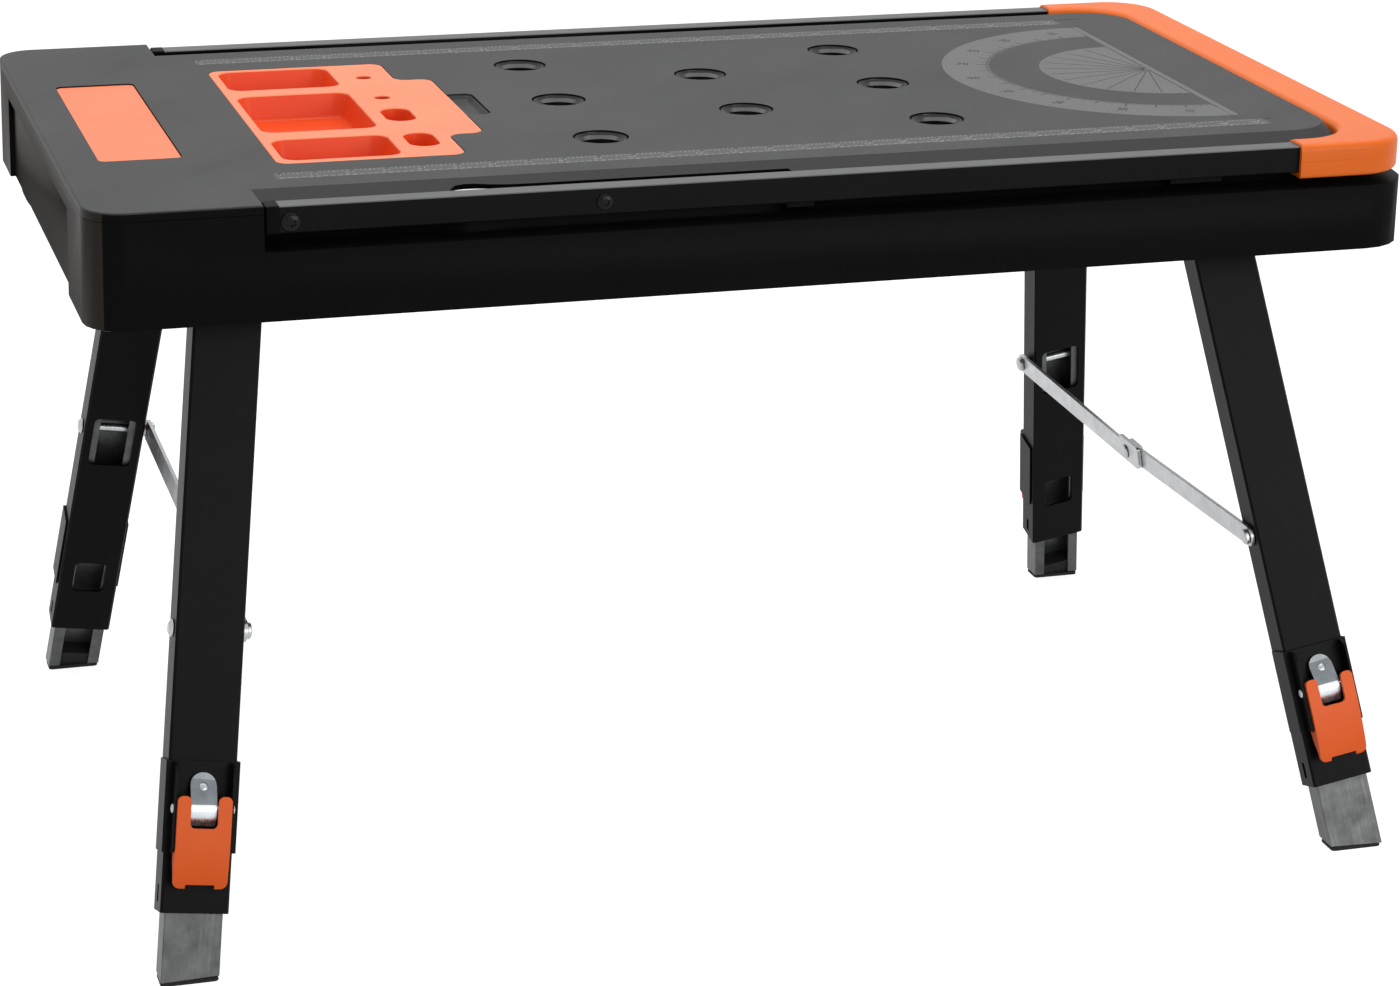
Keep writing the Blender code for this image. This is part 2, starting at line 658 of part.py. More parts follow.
def build_tool_tray():
    """Lift-out tray with three pockets, two oblong cups and two round holes."""
    rim, body = tray_outline(0.0), tray_outline(-TRAY_RIM_OVERHANG)
    foot = tray_outline(-TRAY_RIM_OVERHANG - OVERLAP)
    tray = loft([level(rim, below(depth)) for depth in (TRAY_RIM, 0.0)])
    join(tray, loft([level(foot, below(TRAY_DEPTH)), level(body, below(TRAY_RIM / 2))]))
    for y in POCKET_Y:
        cut(tray, drafted_pocket(POCKET_X, y, POCKET_DEPTH, POCKET_CORNER, POCKET_DRAFT))
    for y in CUP_Y:
        half = (CUP_X[1] - CUP_X[0]) / 2 - 0.2 * MM
        cut(tray, drafted_pocket(CUP_X, y, CUP_DEPTH, half, CUP_DRAFT))
    for x, y in BIT_HOLES:
        cut(tray, rod(below(BIT_HOLE_DEPTH), below(-OVERLAP), BIT_HOLE_RADIUS, (along(x), y, 0.0), "z"))
    finish(tray, "tool_tray", SALMON_PLASTIC, (along(sum(TRAY_X) / 2), 0.0, below(0.0)))


def handle_outline(inset):
    """U-shaped plan of the handle, open toward the head."""
    start = along(SLEEVE_X) + inset
    end, half = along(HANDLE_END_X) - inset, HANDLE_HALF - inset
    inner_x, inner = along(HANDLE_INNER_X) + inset, HANDLE_INNER_HALF + inset
    corner = HANDLE_CORNER - inset
    inner_corner = HANDLE_INNER_CORNER + inset
    outline = [(start, -half)]
    outline += arc((end - corner, -half + corner), corner, 270, 360, CORNER_STEPS + 1)
    outline += arc((end - corner, half - corner), corner, 0, 90, CORNER_STEPS + 1)
    outline += [(start, half), (start, inner)]
    outline += arc((inner_x - inner_corner, inner - inner_corner), inner_corner, 90, 0, CORNER_STEPS + 1)
    outline += arc((inner_x - inner_corner, -inner + inner_corner), inner_corner, 0, -90, CORNER_STEPS + 1)
    outline.append((start, -inner))
    return outline


def build_handle():
    """Pull-out handle with a sleeve for each rail."""
    handle = loft([level(handle_outline(inset), below(depth)) for depth, inset in HANDLE_LEVELS])
    x = (along(SLEEVE_X - HEAD_EDGE), along(RAIL_X[1]) + GAP)
    z = (below(RAIL_DEPTHS[1] + GAP), below(RAIL_DEPTHS[0] - GAP))
    for side in (-1, 1):
        y = sorted((side * (RAIL_Y[0] - GAP), side * (RAIL_Y[1] + GAP)))
        cut(handle, box(x, y, z))
    finish(handle, "handle", ORANGE_PLASTIC, (along(HANDLE_END_X), 0.0, below(HANDLE_LEVELS[0][0] / 2)))


def chamfered(y0, y1, z0, z1, size):
    """Outline of a bar section with its four corners cut off."""
    return [
        (y0 + size, z0), (y1 - size, z0), (y1, z0 + size), (y1, z1 - size),
        (y1 - size, z1), (y0 + size, z1), (y0, z1 - size), (y0, z0 + size),
    ]


def build_rails():
    """Two guide rails and their button-head screws."""
    for side, name in ((-1, "near"), (1, "far")):
        y0, y1 = sorted((side * RAIL_Y[0], side * RAIL_Y[1]))
        section = chamfered(y0, y1, below(RAIL_DEPTHS[1]), below(RAIL_DEPTHS[0]), RAIL_CHAMFER)
        rail = loft([[(along(x), y, z) for y, z in section] for x in RAIL_X])
        for number, (x, depth, radius) in enumerate(RAIL_SCREWS, 1):
            face = side * RAIL_Y[1]
            centre = (along(x), face, below(depth))
            hole = sorted((side * OVERLAP, -side * (SCREW_SHANK + GAP)))
            cut(rail, rod(hole[0], hole[1], SCREW_SHANK_RADIUS + BORE_GAP, centre, "y"))
            profile = (
                (-side * SCREW_SHANK, SCREW_SHANK_RADIUS),
                (side * GAP, SCREW_SHANK_RADIUS),
                (side * GAP, radius),
                (side * (GAP + SCREW_HEAD * 0.35), radius * 0.97),
                (side * (GAP + SCREW_HEAD * 0.8), radius * 0.72),
                (side * (GAP + SCREW_HEAD), radius * 0.35),
            )
            screw = turned(profile, centre, "y", SMALL_STEPS + 4)
            finish(screw, f"rail_screw_{name}_{number}", SILVER_STEEL, centre)
        finish(rail, "rail_" + name, BLACK_STEEL, (along(RAIL_X[0]), (y0 + y1) / 2, below(sum(RAIL_DEPTHS) / 2)))


def build_wheels():
    """Two tyred wheels on one fixed axle."""
    centre = (along(WHEEL_X), 0.0, below(WHEEL_DEPTH))
    axle = rod(-AXLE_HALF, AXLE_HALF, AXLE_RADIUS, centre, "y")
    finish(axle, "wheel_axle", SILVER_STEEL, centre)
    half = WHEEL_WIDTH / 2
    bore = AXLE_RADIUS + BORE_GAP
    for side, name in ((-1, "near"), (1, "far")):
        hub = (along(WHEEL_X), side * WHEEL_Y, below(WHEEL_DEPTH))
        profile = (
            (-half, bore), (-half, HUB_RADIUS), (-half + 3 * MM, DISC_RADII[0]), (-half + 3 * MM, DISC_RADII[1]),
            (-half + 1 * MM, TYRE_SHOULDER), (-half + 1 * MM, WHEEL_RADIUS - 2 * MM), (-half + 4 * MM, WHEEL_RADIUS),
            (half - 4 * MM, WHEEL_RADIUS), (half - 1 * MM, WHEEL_RADIUS - 2 * MM), (half - 1 * MM, TYRE_SHOULDER),
            (half - 3 * MM, DISC_RADII[1]), (half - 3 * MM, DISC_RADII[0]), (half, HUB_RADIUS), (half, bore),
        )
        finish(turned(profile, hub, "y", ROUND_STEPS, ring=True), "wheel_" + name, RUBBER, hub)


def beam_matrix(end):
    """Frame of a hinge beam: u toward the middle of the bench, y across, w up the legs."""
    toward, tilt = end["toward"], end["tilt"]
    u = Vector((toward * math.cos(tilt), 0.0, -math.sin(tilt)))
    w = Vector((toward * math.sin(tilt), 0.0, math.cos(tilt)))
    frame = Matrix((u, Vector((0.0, 1.0, 0.0)), w)).transposed().to_4x4()
    return Matrix.Translation((along(end["pivot_x"]), 0.0, below(PIVOT_DEPTH))) @ frame


def leg_matrix(end, side):
    """Frame of a leg at its pivot: u as for the beam, v outwards, w up the leg."""
    splay = end["splay"]
    v = Vector((0.0, side * math.cos(splay), math.sin(splay)))
    w = Vector((0.0, -side * math.sin(splay), math.cos(splay)))
    frame = Matrix((Vector((1.0, 0.0, 0.0)), v, w)).transposed().to_4x4()
    return beam_matrix(end) @ Matrix.Translation((0.0, side * end["pivot_y"], 0.0)) @ frame


def point_at(matrix, u, v, w):
    """World position of a local point."""
    return matrix @ Vector((u, v, w))


def build_hinge_beam(end):
    """Channel across the bench with a clevis over each leg and a journal at each end, and its two leg pins."""
    matrix = beam_matrix(end)
    inner = TUBE_U + GAP
    outer = inner + BEAM_PLATE
    top = TUBE_V + 1.5 * GAP
    reach = end["pivot_y"] + BEAM_END
    section = [
        (-outer, -BEAM_FLANGE_BOTTOM), (-inner, -BEAM_FLANGE_BOTTOM), (-inner, top), (inner, top),
        (inner, -BEAM_FLANGE_BOTTOM), (outer, -BEAM_FLANGE_BOTTOM), (outer, top + BEAM_PLATE - OVERLAP),
        (outer - OVERLAP, top + BEAM_PLATE), (-outer + OVERLAP, top + BEAM_PLATE), (-outer, top + BEAM_PLATE - OVERLAP),
    ]
    beam = loft([[(u, y, w) for u, w in section] for y in (-reach, reach)])
    for side in (-1, 1):
        middle = side * end["pivot_y"]
        for face in (-1, 1):
            u = sorted((face * inner, face * outer))
            clevis = rounded(
                middle - BEAM_CLEVIS_HALF, middle + BEAM_CLEVIS_HALF, -BEAM_CLEVIS_BOTTOM, top,
                (8 * MM, 8 * MM, 0.5 * MM, 0.5 * MM), 3,
            )
            join(beam, loft([across(clevis, value) for value in u]))
        y = sorted((side * reach, side * (reach + BEAM_PLATE)))
        plate = box_outline(-outer, outer, -BEAM_END_BOTTOM, top + BEAM_PLATE - OVERLAP)
        join(beam, loft([[(u, value, w) for u, w in plate] for value in (y[0] - 0.02 * MM, y[1] + 0.0)]) if side > 0
             else loft([[(u, value, w) for u, w in plate] for value in (y[0], y[1] + 0.02 * MM)]))
        start = side * (reach + BEAM_PLATE / 2)
        tip = side * (reach + BEAM_PLATE + JOURNAL_LENGTH)
        join(beam, rod(start, tip, JOURNAL_RADIUS, (0.0, 0.0, 0.0), "y", ROUND_STEPS))
        centre = (0.0, middle, 0.0)
        cut(beam, rod(-outer - OVERLAP, outer + OVERLAP, PIN_RADIUS + BORE_GAP, centre, "x"))
        pin = turned(
            (
                (-outer - GAP - PIN_HEAD[1], PIN_HEAD[0]),
                (-outer - GAP, PIN_HEAD[0]),
                (-outer - GAP, PIN_RADIUS),
                (outer + GAP, PIN_RADIUS),
                (outer + GAP, PIN_TAIL[0]),
                (outer + GAP + PIN_TAIL[1], PIN_TAIL[0] - OVERLAP),
            ),
            centre, "x",
        )
        name = "near" if side < 0 else "far"
        finish(place(pin, matrix), f"{end['name']}_{name}_hinge_pin", SILVER_STEEL, point_at(matrix, *centre))
    finish(place(beam, matrix), end["name"] + "_hinge_beam", BLACK_STEEL, point_at(matrix, 0.0, 0.0, 0.0))


def build_outer_tube(end, side, prefix):
    """Outer leg tube with a round top, two windows in its inner face and holes for the pin, the bolt and the pad."""
    matrix = leg_matrix(end, side)

    def profile(inset):
        half = TUBE_V - inset
        head = arc((0.0, 0.0), half, 0, 180, 2 * CORNER_STEPS)
        return [(half, -TUBE_END)] + head + [(-half, -TUBE_END)]

    edges = ((-TUBE_U, TUBE_CHAMFER), (-TUBE_U + TUBE_CHAMFER, 0.0), (TUBE_U - TUBE_CHAMFER, 0.0), (TUBE_U, TUBE_CHAMFER))
    tube = loft([across(profile(inset), u) for u, inset in edges])
    inner_u, inner_v = TUBE_U - TUBE_WALL, TUBE_V - TUBE_WALL
    cut(tube, box((-inner_u, inner_u), (-inner_v, inner_v), (-TUBE_END - OVERLAP, -TUBE_CAVITY_START)))
    for start, stop, half in (UPPER_WINDOW, LOWER_WINDOW):
        window = rounded(-half, half, -stop, -start, (4 * MM,) * 4, 3)
        cut(tube, loft([[(u, v, w) for u, w in window] for v in (-TUBE_V - OVERLAP, -inner_v + OVERLAP)]))
    start, stop, half = SIDE_SLOT
    cut(tube, box((-TUBE_U - OVERLAP, TUBE_U + OVERLAP), (-half, half), (-stop, -start)))
    reach = TUBE_U + OVERLAP
    cut(tube, rod(-reach, reach, PIN_RADIUS + BORE_GAP, (0.0, 0.0, 0.0), "x"))
    cut(tube, rod(-reach, reach, STAY_BOLT_RADIUS + BORE_GAP, (0.0, 0.0, -STAY_DISTANCE), "x"))
    centre = (0.0, 0.0, -STRAP_RIVET_T)
    cut(tube, rod(inner_v - OVERLAP, TUBE_V + OVERLAP, PAD_RADIUS + BORE_GAP, centre, "y"))
    finish(place(tube, matrix), prefix + "outer_tube", BLACK_STEEL, point_at(matrix, 0.0, 0.0, 0.0))


def build_inner_leg(end, side, prefix):
    """Telescopic channel, cut level at its end, and the foot in it."""
    matrix = leg_matrix(end, side)
    ground = matrix.translation.z / matrix.col[2].z
    beyond = ground + FLOOR_ALLOWANCE
    inner_u, inner_v = INNER_U - INNER_WALL, INNER_V - INNER_WALL
    lip = INNER_U - INNER_LIP
    section = [
        (-INNER_U, -INNER_V), (-lip, -INNER_V), (-lip, -inner_v), (-inner_u, -inner_v), (-inner_u, inner_v),
        (inner_u, inner_v), (inner_u, -inner_v), (lip, -inner_v), (lip, -INNER_V), (INNER_U, -INNER_V),
        (INNER_U, INNER_V), (-INNER_U, INNER_V),
    ]
    channel = loft([[(u, v, -t) for u, v in section] for t in (beyond, INNER_START)])
    centre = (0.0, 0.0, -INNER_HOLE[0])
    cut(channel, rod(inner_v - OVERLAP, INNER_V + OVERLAP, INNER_HOLE[1], centre, "y", ROUND_STEPS))
    slot = rounded(
        -INNER_SLOT_HALF, INNER_SLOT_HALF, -INNER_SLOT_END, -INNER_START + 3 * INNER_SLOT_HALF,
        (4 * MM, 4 * MM, 0.1 * MM, 0.1 * MM), 3,
    )
    cut(channel, loft([across(slot, u) for u in (-INNER_U - OVERLAP, INNER_U + OVERLAP)]))
    place(channel, matrix)
    low = point_at(matrix, 0.0, 0.0, -beyond)
    wide = 3 * TUBE_U
    x = (low.x - 2 * wide, low.x + 2 * wide)
    y = (low.y - 2 * wide, low.y + 2 * wide)
    cut(channel, box(x, y, (-2 * wide, SOLE_THICKNESS + GAP)))
    finish(channel, prefix + "inner_leg", SILVER_STEEL, point_at(matrix, 0.0, 0.0, -INNER_START))
    plug_u, plug_v = inner_u - GAP, inner_v - GAP
    plug = loft([
        level(rounded(-plug_u, plug_u, -plug_v, plug_v, (1.0 * MM,) * 4, 2), -t)
        for t in (beyond, ground - FOOT_PLUG)
    ])
    place(plug, matrix)
    cut(plug, box(x, y, (-2 * wide, SOLE_THICKNESS / 2)))
    down = -matrix.to_3x3().col[2]
    start = point_at(matrix, 0.0, 0.0, FOOT_PLUG - ground)
    foot_at = start + down * ((start.z - SOLE_THICKNESS) / -down.z)
    soles = []
    for height, grow in ((0.0, -0.6 * MM), (0.6 * MM, 0.0), (SOLE_THICKNESS, -0.4 * MM)):
        outline = rounded(
            foot_at.x - SOLE_U - grow, foot_at.x + SOLE_U + grow, foot_at.y - SOLE_V - grow,
            foot_at.y + SOLE_V + grow, (SOLE_CORNER + grow,) * 4, 3,
        )
        soles.append(level(outline, height))
    join(plug, loft(soles))
    finish(plug, prefix + "foot", RUBBER, foot_at)


def build_latch(end, side, prefix):
    """Height latch on the outer face: bracket, axle, lever and the strap with its clamping pad."""
    matrix = leg_matrix(end, side)
    wrap_in = TUBE_U + GAP
    wrap_out = wrap_in + BRACKET_PLATE
    plate_in = TUBE_V + GAP
    plate_out = plate_in + BRACKET_PLATE
    flange_in = FLANGE_U - BRACKET_PLATE
    section = [
        (-wrap_out, BRACKET_WRAP_V), (-wrap_in, BRACKET_WRAP_V), (-wrap_in, plate_in), (wrap_in, plate_in),
        (wrap_in, BRACKET_WRAP_V), (wrap_out, BRACKET_WRAP_V), (wrap_out, plate_out), (-wrap_out, plate_out),
    ]
    bracket = loft([[(u, v, -t) for u, v in section] for t in (BRACKET[1], BRACKET[0])])
    root = plate_out - BRACKET_PLATE / 2
    ear = rounded(
        root, FLANGE_TIP_V, -BRACKET[1] + OVERLAP, -BRACKET[0] - OVERLAP, (0.1 * MM, 3 * MM, FLANGE_CORNER, 0.1 * MM)
    )
    for face in (-1, 1):
        u = sorted((face * flange_in, face * FLANGE_U))
        join(bracket, loft([across(ear, value) for value in u]))
    centre = (0.0, LATCH_AXIS_V, -LATCH_AXIS_T)
    reach = FLANGE_U + OVERLAP
    cut(bracket, rod(-reach, reach, LATCH_AXLE_RADIUS + BORE_GAP, centre, "x"))
    pad_centre = (0.0, 0.0, -STRAP_RIVET_T)
    cut(bracket, rod(plate_in - OVERLAP, plate_out + OVERLAP, PAD_RADIUS + BORE_GAP, pad_centre, "y"))
    finish(place(bracket, matrix), prefix + "latch_bracket", BLACK_STEEL, point_at(matrix, *centre))

    head = FLANGE_U + GAP
    axle = turned(
        (
            (-head - LATCH_HEAD, LATCH_HEAD_RADIUS * 0.7), (-head - LATCH_HEAD * 0.4, LATCH_HEAD_RADIUS),
            (-head, LATCH_HEAD_RADIUS), (-head, LATCH_AXLE_RADIUS), (head, LATCH_AXLE_RADIUS),
            (head, LATCH_HEAD_RADIUS), (head + LATCH_HEAD * 0.4, LATCH_HEAD_RADIUS),
            (head + LATCH_HEAD, LATCH_HEAD_RADIUS * 0.7),
        ),
        centre, "x",
    )
    finish(place(axle, matrix), prefix + "latch_axle", SILVER_STEEL, point_at(matrix, *centre))

    face_in, face_out = LEVER_FACE_V
    back = LATCH_AXIS_V - LEVER_BACK
    side_view = [
        (face_in, -LEVER_TOP - 1.5 * MM), (face_out - OVERLAP, -LEVER_TOP), (face_out, -LEVER_TOP - OVERLAP),
        (face_out, -LEVER_END + 16 * MM), (face_out - 2 * MM, -LEVER_END + 3 * MM), (face_out - 4.5 * MM, -LEVER_END),
        (face_in - 3.5 * MM, -LEVER_END), (face_in - 4 * MM, -LEVER_END + 8 * MM),
        (back + 3 * MM, -LEVER_END + 18 * MM), (back, -LATCH_AXIS_T - 12 * MM),
        (back, -LATCH_AXIS_T), (LATCH_AXIS_V - 2.5 * MM, -LATCH_AXIS_T + 4.6 * MM),
    ]
    lever = loft([
        across([(v - inset * 0.3, w) for v, w in side_view], u)
        for u, inset in ((-LEVER_U, OVERLAP), (-LEVER_U + OVERLAP, 0.0), (LEVER_U - OVERLAP, 0.0), (LEVER_U, OVERLAP))
    ])
    inner_u = LEVER_U - LEVER_CHEEK
    hollow = [
        (0.0, -LEVER_END + 5 * MM), (face_in - 2 * MM, -LEVER_END + 5 * MM), (face_in, -LEVER_END + 14 * MM),
        (face_in, -LEVER_TOP + 2 * OVERLAP), (0.0, -LEVER_TOP + 2 * OVERLAP),
    ]
    cut(lever, loft([across(hollow, u) for u in (-inner_u, inner_u)]))
    slot_end, slot_half = LEVER_SLOT
    slot = rounded(-slot_half, slot_half, -slot_end, -LEVER_TOP + 3 * MM, (4 * MM, 4 * MM, 0.1 * MM, 0.1 * MM), 3)
    cut(lever, loft([[(u, v, w) for u, w in slot] for v in (face_in - OVERLAP, face_out + OVERLAP)]))
    notch_depth, notch_half = LEVER_NOTCH
    notch = rounded(
        -notch_half, notch_half, -LEVER_END - 3 * MM, -LEVER_END + notch_depth, (0.1 * MM, 0.1 * MM, 3 * MM, 3 * MM), 3
    )
    cut(lever, loft([[(u, v, w) for u, w in notch] for v in (0.0, face_out + OVERLAP)]))
    cut(lever, rod(-reach, reach, LATCH_AXLE_RADIUS + BORE_GAP, centre, "x"))
    finish(place(lever, matrix), prefix + "latch_lever", ORANGE_PLASTIC, point_at(matrix, *centre))

    strap_in = plate_out + GAP
    strap_out = strap_in + STRAP_THICKNESS
    outline = rounded(
        -STRAP_HALF, STRAP_HALF, -STRAP_T[1], -STRAP_T[0], (2 * MM, 2 * MM, 9 * MM, 9 * MM)
    )
    strap = loft([[(u, v, w) for u, w in outline] for v in (strap_in, strap_out)])
    join(strap, rod(INNER_V + GAP, strap_in + OVERLAP, PAD_RADIUS, pad_centre, "y"))
    rivet_radius, rivet_height = STRAP_RIVET
    rivet = (
        (strap_out - OVERLAP, rivet_radius), (strap_out + rivet_height * 0.5, rivet_radius),
        (strap_out + rivet_height, rivet_radius * 0.6),
    )
    join(strap, turned(rivet, pad_centre, "y"))
    rivet_at = point_at(matrix, 0.0, strap_in, -STRAP_RIVET_T)
    finish(place(strap, matrix), prefix + "latch_strap", SILVER_STEEL, rivet_at)


def stay_points(end):
    """Pin offset from the centre line, pin height, and length of one stay link, in the frame of the beam."""
    pin_y = end["pivot_y"] + STAY_DISTANCE * math.sin(end["splay"])
    pin_w = -STAY_DISTANCE * math.cos(end["splay"])
    return pin_y, pin_w, math.hypot(pin_y, STAY_SAG)


def stay_bolt(end, side, prefix):
    """Bolt through the leg that carries a stay link, with a collar under the far link."""
    matrix = leg_matrix(end, side)
    near_plane = TUBE_U + GAP
    far_plane = near_plane + LINK_THICKNESS + GAP
    profile = [
        (-near_plane - STAY_HEAD, STAY_HEAD_RADIUS * 0.6), (-near_plane - STAY_HEAD * 0.3, STAY_HEAD_RADIUS),
        (-near_plane, STAY_HEAD_RADIUS), (-near_plane, STAY_BOLT_RADIUS),
    ]
    if side < 0:
        nut = near_plane + LINK_THICKNESS + GAP
        profile.append((nut, STAY_BOLT_RADIUS))
    else:
        nut = far_plane + LINK_THICKNESS + GAP
        profile += [
            (near_plane, STAY_BOLT_RADIUS), (near_plane, STAY_NUT_RADIUS), (far_plane - GAP, STAY_NUT_RADIUS),
            (far_plane - GAP, STAY_BOLT_RADIUS), (nut, STAY_BOLT_RADIUS),
        ]
    profile += [(nut, STAY_NUT_RADIUS), (nut + STAY_NUT * 0.7, STAY_NUT_RADIUS), (nut + STAY_NUT, STAY_NUT_RADIUS * 0.7)]
    bolt = turned(profile, (0.0, 0.0, -STAY_DISTANCE), "x")
    finish(place(bolt, matrix), prefix + "stay_bolt", SILVER_STEEL, point_at(matrix, 0.0, 0.0, -STAY_DISTANCE))


def build_stays(end):
    """Two flat links that brace the pair of legs and break upwards, with the centre rivet on the far link."""
    matrix = beam_matrix(end)
    pin_y, pin_w, length = stay_points(end)
    near_plane = TUBE_U + GAP
    far_plane = near_plane + LINK_THICKNESS + GAP

    def flat(length_value):
        ends = arc((0.0, 0.0), LINK_HALF, 90, 270, LINK_STEPS)
        return ends + arc((length_value, 0.0), LINK_HALF, -90, 90, LINK_STEPS)

    for side, plane, name in ((-1, near_plane, "near"), (1, far_plane, "far")):
        link = loft([across(flat(length), u) for u in (plane, plane + LINK_THICKNESS)])
        if side > 0:
            plate_run, plate_back = STOP_PLATE
            flange_low = LINK_HALF + 2 * math.tan(STAY_SAG / pin_y) * STOP_FLANGE[0] + GAP
            flange_high = flange_low + STOP_FLANGE_THICKNESS
            plate = rounded(
                length - plate_back, length + plate_run, -LINK_HALF, flange_high,
                (2 * MM, 5 * MM, 3 * MM, 2 * MM), 3,
            )
            join(link, loft([across(plate, u) for u in (plane, plane + LINK_THICKNESS)]))
            x = (near_plane + GAP, plane + LINK_THICKNESS / 2)
            y = (length + STOP_FLANGE[1], length + STOP_FLANGE[0])
            join(link, box(x, y, (flange_low, flange_high)))
            cut(link, rod(plane - OVERLAP, plane + LINK_THICKNESS + OVERLAP, CENTRE_RIVET[0] + BORE_GAP,
                          (0.0, length, 0.0), "x"))
        cut(link, rod(plane - OVERLAP, plane + LINK_THICKNESS + OVERLAP, STAY_BOLT_RADIUS + BORE_GAP,
                      (0.0, 0.0, 0.0), "x"))
        sag = math.atan2(STAY_SAG, pin_y)
        # Local +y runs from the pin to the middle, and the middle hangs lower by the sag
        run = Vector((0.0, -side * math.cos(sag), -math.sin(sag)))
        rise = Vector((0.0, -side * math.sin(sag), math.cos(sag)))
        frame = Matrix((Vector((1.0, 0.0, 0.0)), run, rise)).transposed().to_4x4()
        local = matrix @ Matrix.Translation((0.0, side * pin_y, pin_w)) @ frame
        place(link, local)
        finish(link, f"{end['name']}_{name}_stay_link", SILVER_STEEL, point_at(local, 0.0, 0.0, 0.0))
        if side > 0:
            shank, head_radius, head = CENTRE_RIVET
            start = far_plane
            stop = far_plane + LINK_THICKNESS + GAP
            rivet = turned(
                ((start, shank), (stop, shank), (stop, head_radius), (stop + head * 0.6, head_radius * 0.9),
                 (stop + head, head_radius * 0.5)),
                (0.0, length, 0.0), "x",
            )
            place(rivet, local)
            finish(rivet, end["name"] + "_stay_rivet", SILVER_STEEL, point_at(local, stop, length, 0.0))


def build_legs(end):
    """One pair of legs with everything that hangs on them."""
    build_hinge_beam(end)
    for side, name in ((-1, "near"), (1, "far")):
        prefix = f"{end['name']}_{name}_"
        build_outer_tube(end, side, prefix)
        build_inner_leg(end, side, prefix)
        build_latch(end, side, prefix)
        stay_bolt(end, side, prefix)
    build_stays(end)


clear_scene()
build_top_cover()
build_body_frame()
build_label_plate()
build_tool_tray()
build_handle()
build_rails()
build_wheels()
build_legs(LEFT_END)
build_legs(RIGHT_END)
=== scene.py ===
"""Mobile workbench dressed for display: a moulded work top on four folding, telescopic legs.

Shapes are drawn in millimetres in the bench's own frame and set into the world, in metres, at the end:
x runs from the left end of the head, y across the bench with the near side negative, z up from the top plane.
"""

from __future__ import annotations

import json
import logging
import math
from dataclasses import dataclass
from enum import Enum
from typing import Callable, Optional, Sequence, Union

import bmesh
import bpy
from mathutils import Matrix, Vector

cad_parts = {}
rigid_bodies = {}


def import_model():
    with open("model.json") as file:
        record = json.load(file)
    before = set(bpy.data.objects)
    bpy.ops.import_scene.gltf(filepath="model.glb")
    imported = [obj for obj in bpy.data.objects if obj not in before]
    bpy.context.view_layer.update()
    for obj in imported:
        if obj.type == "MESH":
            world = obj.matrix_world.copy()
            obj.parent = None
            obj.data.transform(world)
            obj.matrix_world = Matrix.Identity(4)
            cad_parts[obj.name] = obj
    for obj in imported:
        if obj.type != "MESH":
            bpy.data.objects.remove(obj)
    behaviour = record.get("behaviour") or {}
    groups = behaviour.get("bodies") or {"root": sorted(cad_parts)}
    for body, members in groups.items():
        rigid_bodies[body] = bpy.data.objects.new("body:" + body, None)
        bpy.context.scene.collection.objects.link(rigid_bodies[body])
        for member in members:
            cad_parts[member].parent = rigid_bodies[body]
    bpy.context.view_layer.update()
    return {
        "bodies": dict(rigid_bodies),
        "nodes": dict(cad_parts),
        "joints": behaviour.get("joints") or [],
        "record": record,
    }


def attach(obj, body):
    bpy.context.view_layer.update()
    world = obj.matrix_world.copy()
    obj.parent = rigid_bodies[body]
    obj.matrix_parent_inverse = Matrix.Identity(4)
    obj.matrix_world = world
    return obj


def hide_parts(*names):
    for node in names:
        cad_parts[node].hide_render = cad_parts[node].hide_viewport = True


LOG = logging.getLogger("workbench")
MM = 0.001
# Half the bench's length and the height of its top plane, in millimetres.
HALF_LENGTH = 484.85
TOP_HEIGHT = 540.0
# Where the painted light from the left shows: how far left a moulded face lies, in metres, and how far a face
# is turned to the left.
LEFT_END = -0.4
COAT_LEFTWARD = -0.8
SHELL_LEFTWARD = -0.6
# Steps in a corner, round a large bore and round a small turned part.
CORNER_STEPS = 10
ROUND_STEPS = 56
SMALL_STEPS = 28
# Values between which a noise mostly lies; they are spread over a whole blend of colour or sheen.
NOISE_SPAN = (0.3, 0.7)
WORLD = Matrix.Scale(MM, 4) @ Matrix.Translation((-HALF_LENGTH, 0.0, TOP_HEIGHT))

Flat = tuple[float, float]
Point = tuple[float, float, float]
Piece = bpy.types.Object
Socketed = Union[float, int, Sequence[float], bpy.types.NodeSocket, bpy.types.Material, bpy.types.Object]


def linear(code: str) -> tuple[float, float, float, float]:
    """Turns an sRGB hex colour into linear RGBA.

    Args:
        code: Colour such as "#1a2b3c".

    Returns:
        Linear red, green, blue and an alpha of one.
    """
    levels = [int(code[start : start + 2], 16) / 255 for start in (1, 3, 5)]
    red, green, blue = (v / 12.92 if v <= 0.04045 else ((v + 0.055) / 1.055) ** 2.4 for v in levels)
    return red, green, blue, 1.0


def node(
    tree: bpy.types.NodeTree,
    kind: str,
    settings: Optional[dict[str, object]] = None,
    feeds: Optional[dict[Union[str, int], Socketed]] = None,
) -> bpy.types.Node:
    """Adds a node with its settings and feeds its inputs.

    Args:
        tree: Node tree that takes the node.
        kind: Blender's type name of the node.
        settings: Properties of the node.
        feeds: Inputs by name or place, each a value or another node's output.

    Returns:
        The new node.
    """
    made = tree.nodes.new(kind)
    for key, value in (settings or {}).items():
        setattr(made, key, value)
    for key, value in (feeds or {}).items():
        if isinstance(value, bpy.types.NodeSocket):
            tree.links.new(value, made.inputs[key])
        else:
            made.inputs[key].default_value = value
    return made


